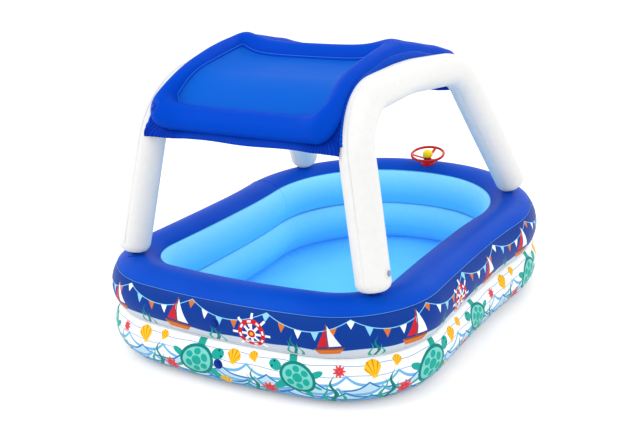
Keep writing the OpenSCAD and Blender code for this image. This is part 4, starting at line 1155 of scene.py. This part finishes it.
# ---- weld beads, made with Geometry Nodes ----------------------------------------------------------------------
def bead_tree():
    tree = bpy.data.node_groups.new("weld_bead", "GeometryNodeTree")
    sockets = {label: tree.interface.new_socket(name=label, in_out="INPUT", socket_type="NodeSocket" + kind)
        for label, kind in (("Lines", "Geometry"), ("Bead Radius", "Float"), ("Material", "Material"))}
    tree.interface.new_socket(name="Bead", in_out="OUTPUT", socket_type="NodeSocketGeometry")
    t = Tree(tree)
    given, out = t.node("NodeGroupInput").outputs, t.node("NodeGroupOutput").inputs
    curve = t.node("GeometryNodeMeshToCurve", Mesh=given["Lines"])
    profile = t.node("GeometryNodeCurvePrimitiveCircle", Resolution=8, Radius=given["Bead Radius"])
    sweep = t.node("GeometryNodeCurveToMesh", Curve=curve.outputs[0], Profile_Curve=profile.outputs[0], Fill_Caps=True)
    smooth = t.node("GeometryNodeSetShadeSmooth", Geometry=sweep.outputs[0])
    paint = t.node("GeometryNodeSetMaterial", Geometry=smooth.outputs[0], Material=given["Material"])
    t.feed(out["Bead"], paint.outputs[0])
    return tree, sockets


BEAD_TREE, BEAD_SOCKETS = bead_tree()


def bead(name, lines, closed_lines, radius, look, body):
    """Round welds that follow lines. The lines come in order, so those of closed_lines run back to their start."""
    points, edges = [], []
    for line, is_closed in [(line, False) for line in lines] + [(line, True) for line in closed_lines]:
        base, n = len(points), len(line)
        points += np.asarray(line, float).tolist()
        edges += [(base + i, base + (i + 1) % n) for i in range(n if is_closed else n - 1)]
    mesh = bpy.data.meshes.new(name)
    mesh.from_pydata(points, edges, [])
    piece = link(name, mesh)
    modifier = piece.modifiers.new("weld bead", "NODES")
    modifier.node_group = BEAD_TREE
    modifier[BEAD_SOCKETS["Bead Radius"].identifier] = radius
    modifier[BEAD_SOCKETS["Material"].identifier] = MATERIALS[look]
    bpy.context.view_layer.update()
    piece.data = bpy.data.meshes.new_from_object(piece.evaluated_get(bpy.context.evaluated_depsgraph_get()))
    piece.data.name = name
    piece.modifiers.clear()
    finish_piece(piece, body)


def across_ring(height, first, last, station, lift):
    a = np.linspace(first, last, 40)
    return on_ring(height, RING + lift, a[None, :] + np.zeros((STATIONS, 1)))[station]


def cap_weld(side, start, up):
    """The round weld between a leg's tube and its rounded foot."""
    phi, beta, reach = np.linspace(0, 2 * np.pi, 96, endpoint=False), math.radians(38), FOOT_ROUND - 0.0003
    c = start - up * reach * math.sin(beta)
    radius = TUBE - FOOT_ROUND + reach * math.cos(beta)
    return round_arch(side, c, np.array([-up[1], up[0]]), radius, phi)


def panel_weld(sheet, panel):
    """Even places along the weld round a flat panel, on the top or the bottom sheet."""
    path = panel_path(panel, 0.0018)
    loop = np.vstack([path, path[:1]])
    run = run_along(loop)
    places = at_run(np.linspace(0, run[-1], 420, endpoint=False), run, loop)
    return sheet(places[:, 0], places[:, 1], 0.0018)


# ---- the pieces ------------------------------------------------------------------------------------------------
for settings in (
        ("upper_ring_top", "upper_ring_top_band", UPPER_RING, (OUTER_SEAM, INNER_SEAM), 46,
            (OUTER_SEAM, INNER_SEAM), 0.0010, 0.3, "ring_blue", "ring_blue"),
        ("upper_ring_print", "upper_ring_outer_band", UPPER_RING, (-GROOVE, OUTER_SEAM), 44,
            (-GROOVE, OUTER_SEAM), 0.0012, 1.1, "printed_blue", "print_navy"),
        ("upper_ring_inside", "upper_ring_inner_band", UPPER_RING, (INNER_SEAM, INNER_GROOVE_UP), 44,
            (INNER_SEAM, INNER_GROOVE_UP), 0.0010, 2.0, "light_blue", "inside_blue"),
        ("lower_ring_print", "lower_ring_outer_band", LOWER_RING, (-FLOOR_ANGLE, GROOVE), 50,
            (GROOVE, -FLOOR_ANGLE), 0.0012, 2.9, "printed_white", "print_white"),
        ("lower_ring_inside", "lower_ring_inner_band", LOWER_RING, (INNER_GROOVE_DOWN, INNER_FLOOR), 50,
            (INNER_GROOVE_DOWN, INNER_FLOOR), 0.0012, 3.7, "light_blue", "inside_blue")):
    band_piece(*settings)
floor_piece()
for side in (1, -1):
    arch_piece(side)
shade_piece()
skirt_piece("shade_front_hem", "shade_front_skirt", 0.0, 1, 0.028)
skirt_piece("shade_rear_hem", "shade_rear_skirt", SHADE_LENGTH, -1, 0.052)
strips_piece()

for name, place, body, slot, look in (
        ("upper_ring", at_stern(UPPER_RING), "pool", "valve_blue", "valve_blue"),
        ("lower_ring", at_stern(LOWER_RING), "pool", "valve_blue", "valve_blue"),
        ("right_arch", on_leg(1), "sunshade", "valve_grey", "white_vinyl"),
        ("left_arch", on_leg(-1), "sunshade", "valve_grey", "white_vinyl"),
        ("shade", on_shade, "sunshade", "shade_blue", "flange_blue")):
    draped_disc(name + "_flange", place, VALVE_BORE, VALVE_FLANGE, 36, body, look, name + "_valve_flange")
FEET = ((FRONT_FOOT, FRONT_UP), (REAR_FOOT, REAR_UP))
for index, (side, (start, up)) in enumerate((s, f) for s in (1, -1) for f in FEET):
    place = on_ring_top(side * (LEG_X - start[1] * math.sin(LEAN)), start[0])
    draped_disc("leg_pocket_%d" % (index + 1), place, POCKET_BORE, POCKET_FLANGE, 48, "pool", "ring_blue",
        "leg_pockets")

# The outer seam's bead is painted paler than both bands: a painted highlight along the seam.
for name, height, angle, lift, radius, look, slot in (
        ("ring_weld_outer", UPPER_RING, OUTER_SEAM, 0.0, 0.0016, "seam_painted_highlight", "ring_blue"),
        ("ring_weld_inner", UPPER_RING, INNER_SEAM, 0.0, 0.0014, "weld_light", "light_blue"),
        ("groove_weld_outer", UPPER_RING, -GROOVE, 0.0, 0.0022, "weld_white", "printed_white"),
        ("groove_weld_inner", UPPER_RING, INNER_GROOVE_UP, 0.0, 0.0022, "weld_light", "light_blue"),
        ("floor_weld_inner", LOWER_RING, INNER_FLOOR, 0.0006, 0.0014, "weld_light", "light_blue"),
        ("floor_weld_outer", LOWER_RING, -FLOOR_ANGLE, 0.0006, 0.0010, "weld_white", "printed_white")):
    bead(name, [], [ring_line(height, angle, lift)], radius, look, "pool")
# The bands' two ends are joined at the right rear and the left front.
joins = [int(np.argmin(np.hypot(RING_P[:, 0] - x, RING_P[:, 1] - y))) for x, y in ((0.63, -0.36), (-0.63, 0.30))]
bead("ring_end_welds", [across_ring(UPPER_RING, OUTER_SEAM, INNER_SEAM, j, -0.0001) for j in joins], [],
    0.0009, "weld_blue", "pool")
bead("inside_end_welds", [across_ring(height, first, last, j, -0.0003) for j in joins for height, first, last in (
    (UPPER_RING, INNER_SEAM, INNER_GROOVE_UP), (LOWER_RING, INNER_GROOVE_DOWN, INNER_FLOOR))], [],
    0.0009, "weld_light", "pool")
bead("arch_welds", [round_arch(s, ARCH_P, ARCH_N, TUBE - 0.0010, np.full((ARCH_ROWS, 1), a))[:, 0]
    for s in (1, -1) for a in (0, math.pi)], [cap_weld(s, *f) for s in (1, -1) for f in FEET],
    0.0011, "weld_white", "sunshade")
# The panels' welds are painted paler than the film: a painted highlight along the panels' edges.
bead("panel_welds", [], [panel_weld(sheet, panel) for panel in PANELS for sheet in (top_sheet, bottom_sheet)],
    0.0014, "weld_painted_highlight", "sunshade")


# ---- ground, light and camera ----------------------------------------------------------------------------------
def seen_white(t):
    """1 for rays that look at the studio, 0 for those that light the pool."""
    rays = t.node("ShaderNodeLightPath").outputs
    return t.higher(rays["Is Camera Ray"], t.higher(rays["Is Glossy Ray"], rays["Is Transmission Ray"]))


def blend(t, share, first, second):
    n = t.node("ShaderNodeMixShader")
    for socket, value in zip(n.inputs, (share, first, second)):
        t.feed(socket, value)
    return n.outputs[0]


ground_mesh = bpy.data.meshes.new("ground")
ground_mesh.from_pydata([(x, y, -0.0004) for x, y in ((-40, -40), (40, -40), (40, 40), (-40, 40))], [], [[0, 1, 2, 3]])
link("ground", ground_mesh)
material, t = new_material("ground_white")
tint = t.mix(t.noise(t.here(), 0.8, 2.0), (0.86, 0.865, 0.87, 1), (0.88, 0.885, 0.89, 1))
plain_floor = t.node("ShaderNodeBsdfPrincipled", Base_Color=tint, Roughness=0.8, Specular_IOR_Level=0.1).outputs[0]
# The floor is seen as an even white that still keeps the pool's shadow.
both_lights = t.node("ShaderNodeAddShader")
t.feed(both_lights.inputs[0], plain_floor)
t.feed(both_lights.inputs[1], t.node("ShaderNodeEmission", Color=(1.0, 0.85, 0.75, 1), Strength=0.26).outputs[0])
t.node("ShaderNodeOutputMaterial", Surface=blend(t, seen_white(t), plain_floor, both_lights.outputs[0]))
ground_mesh.materials.append(material)

world = bpy.data.worlds.new("studio")
bpy.context.scene.world = world
world.use_nodes = True
world.node_tree.nodes.clear()
t = Tree(world.node_tree)
sky = t.node("ShaderNodeBackground", Color=(0.985, 0.995, 1.0, 1), Strength=1.03).outputs[0]
seen = t.node("ShaderNodeBackground", Color=(1, 1, 1, 1), Strength=1.0).outputs[0]
t.node("ShaderNodeOutputWorld", Surface=blend(t, seen_white(t), sky, seen))


def softbox(name, place, target, size, power):
    light = bpy.data.lights.new(name, "AREA")
    light.shape = "RECTANGLE"
    light.size, light.size_y = size
    light.energy = power
    lamp = link(name, light)
    lamp.location = place
    lamp.rotation_euler = (Vector(target) - Vector(place)).to_track_quat("-Z", "Y").to_euler()


softbox("key", (-2.6, -3.4, 4.2), (0, -0.1, 0.4), (3.4, 3.4), 80)
softbox("fill", (4.2, -1.0, 2.8), (0, 0, 0.4), (3.0, 3.0), 30)
softbox("back", (0.5, 4.2, 3.6), (0, 0, 0.6), (3.4, 2.4), 50)

camera = link("camera", bpy.data.cameras.new("camera"))
camera.data.sensor_width = 36
camera.data.lens = 63.11
azimuth, elevation, roll = (math.radians(v) for v in (31.393, 18.272, -2.958))
flat_out = math.cos(elevation)
forward = Vector((-math.sin(azimuth) * flat_out, math.cos(azimuth) * flat_out, -math.sin(elevation)))
right = forward.cross(Vector((0, 0, 1))).normalized()
up = right.cross(forward)
right, up = math.cos(roll) * right + math.sin(roll) * up, math.cos(roll) * up - math.sin(roll) * right
turned = Matrix((right, up, -forward)).transposed().to_4x4()
camera.matrix_world = Matrix.Translation((2.4592, -4.2799, 2.0771)) @ turned
bpy.context.scene.camera = camera
bpy.context.scene.view_settings.view_transform = "Standard"
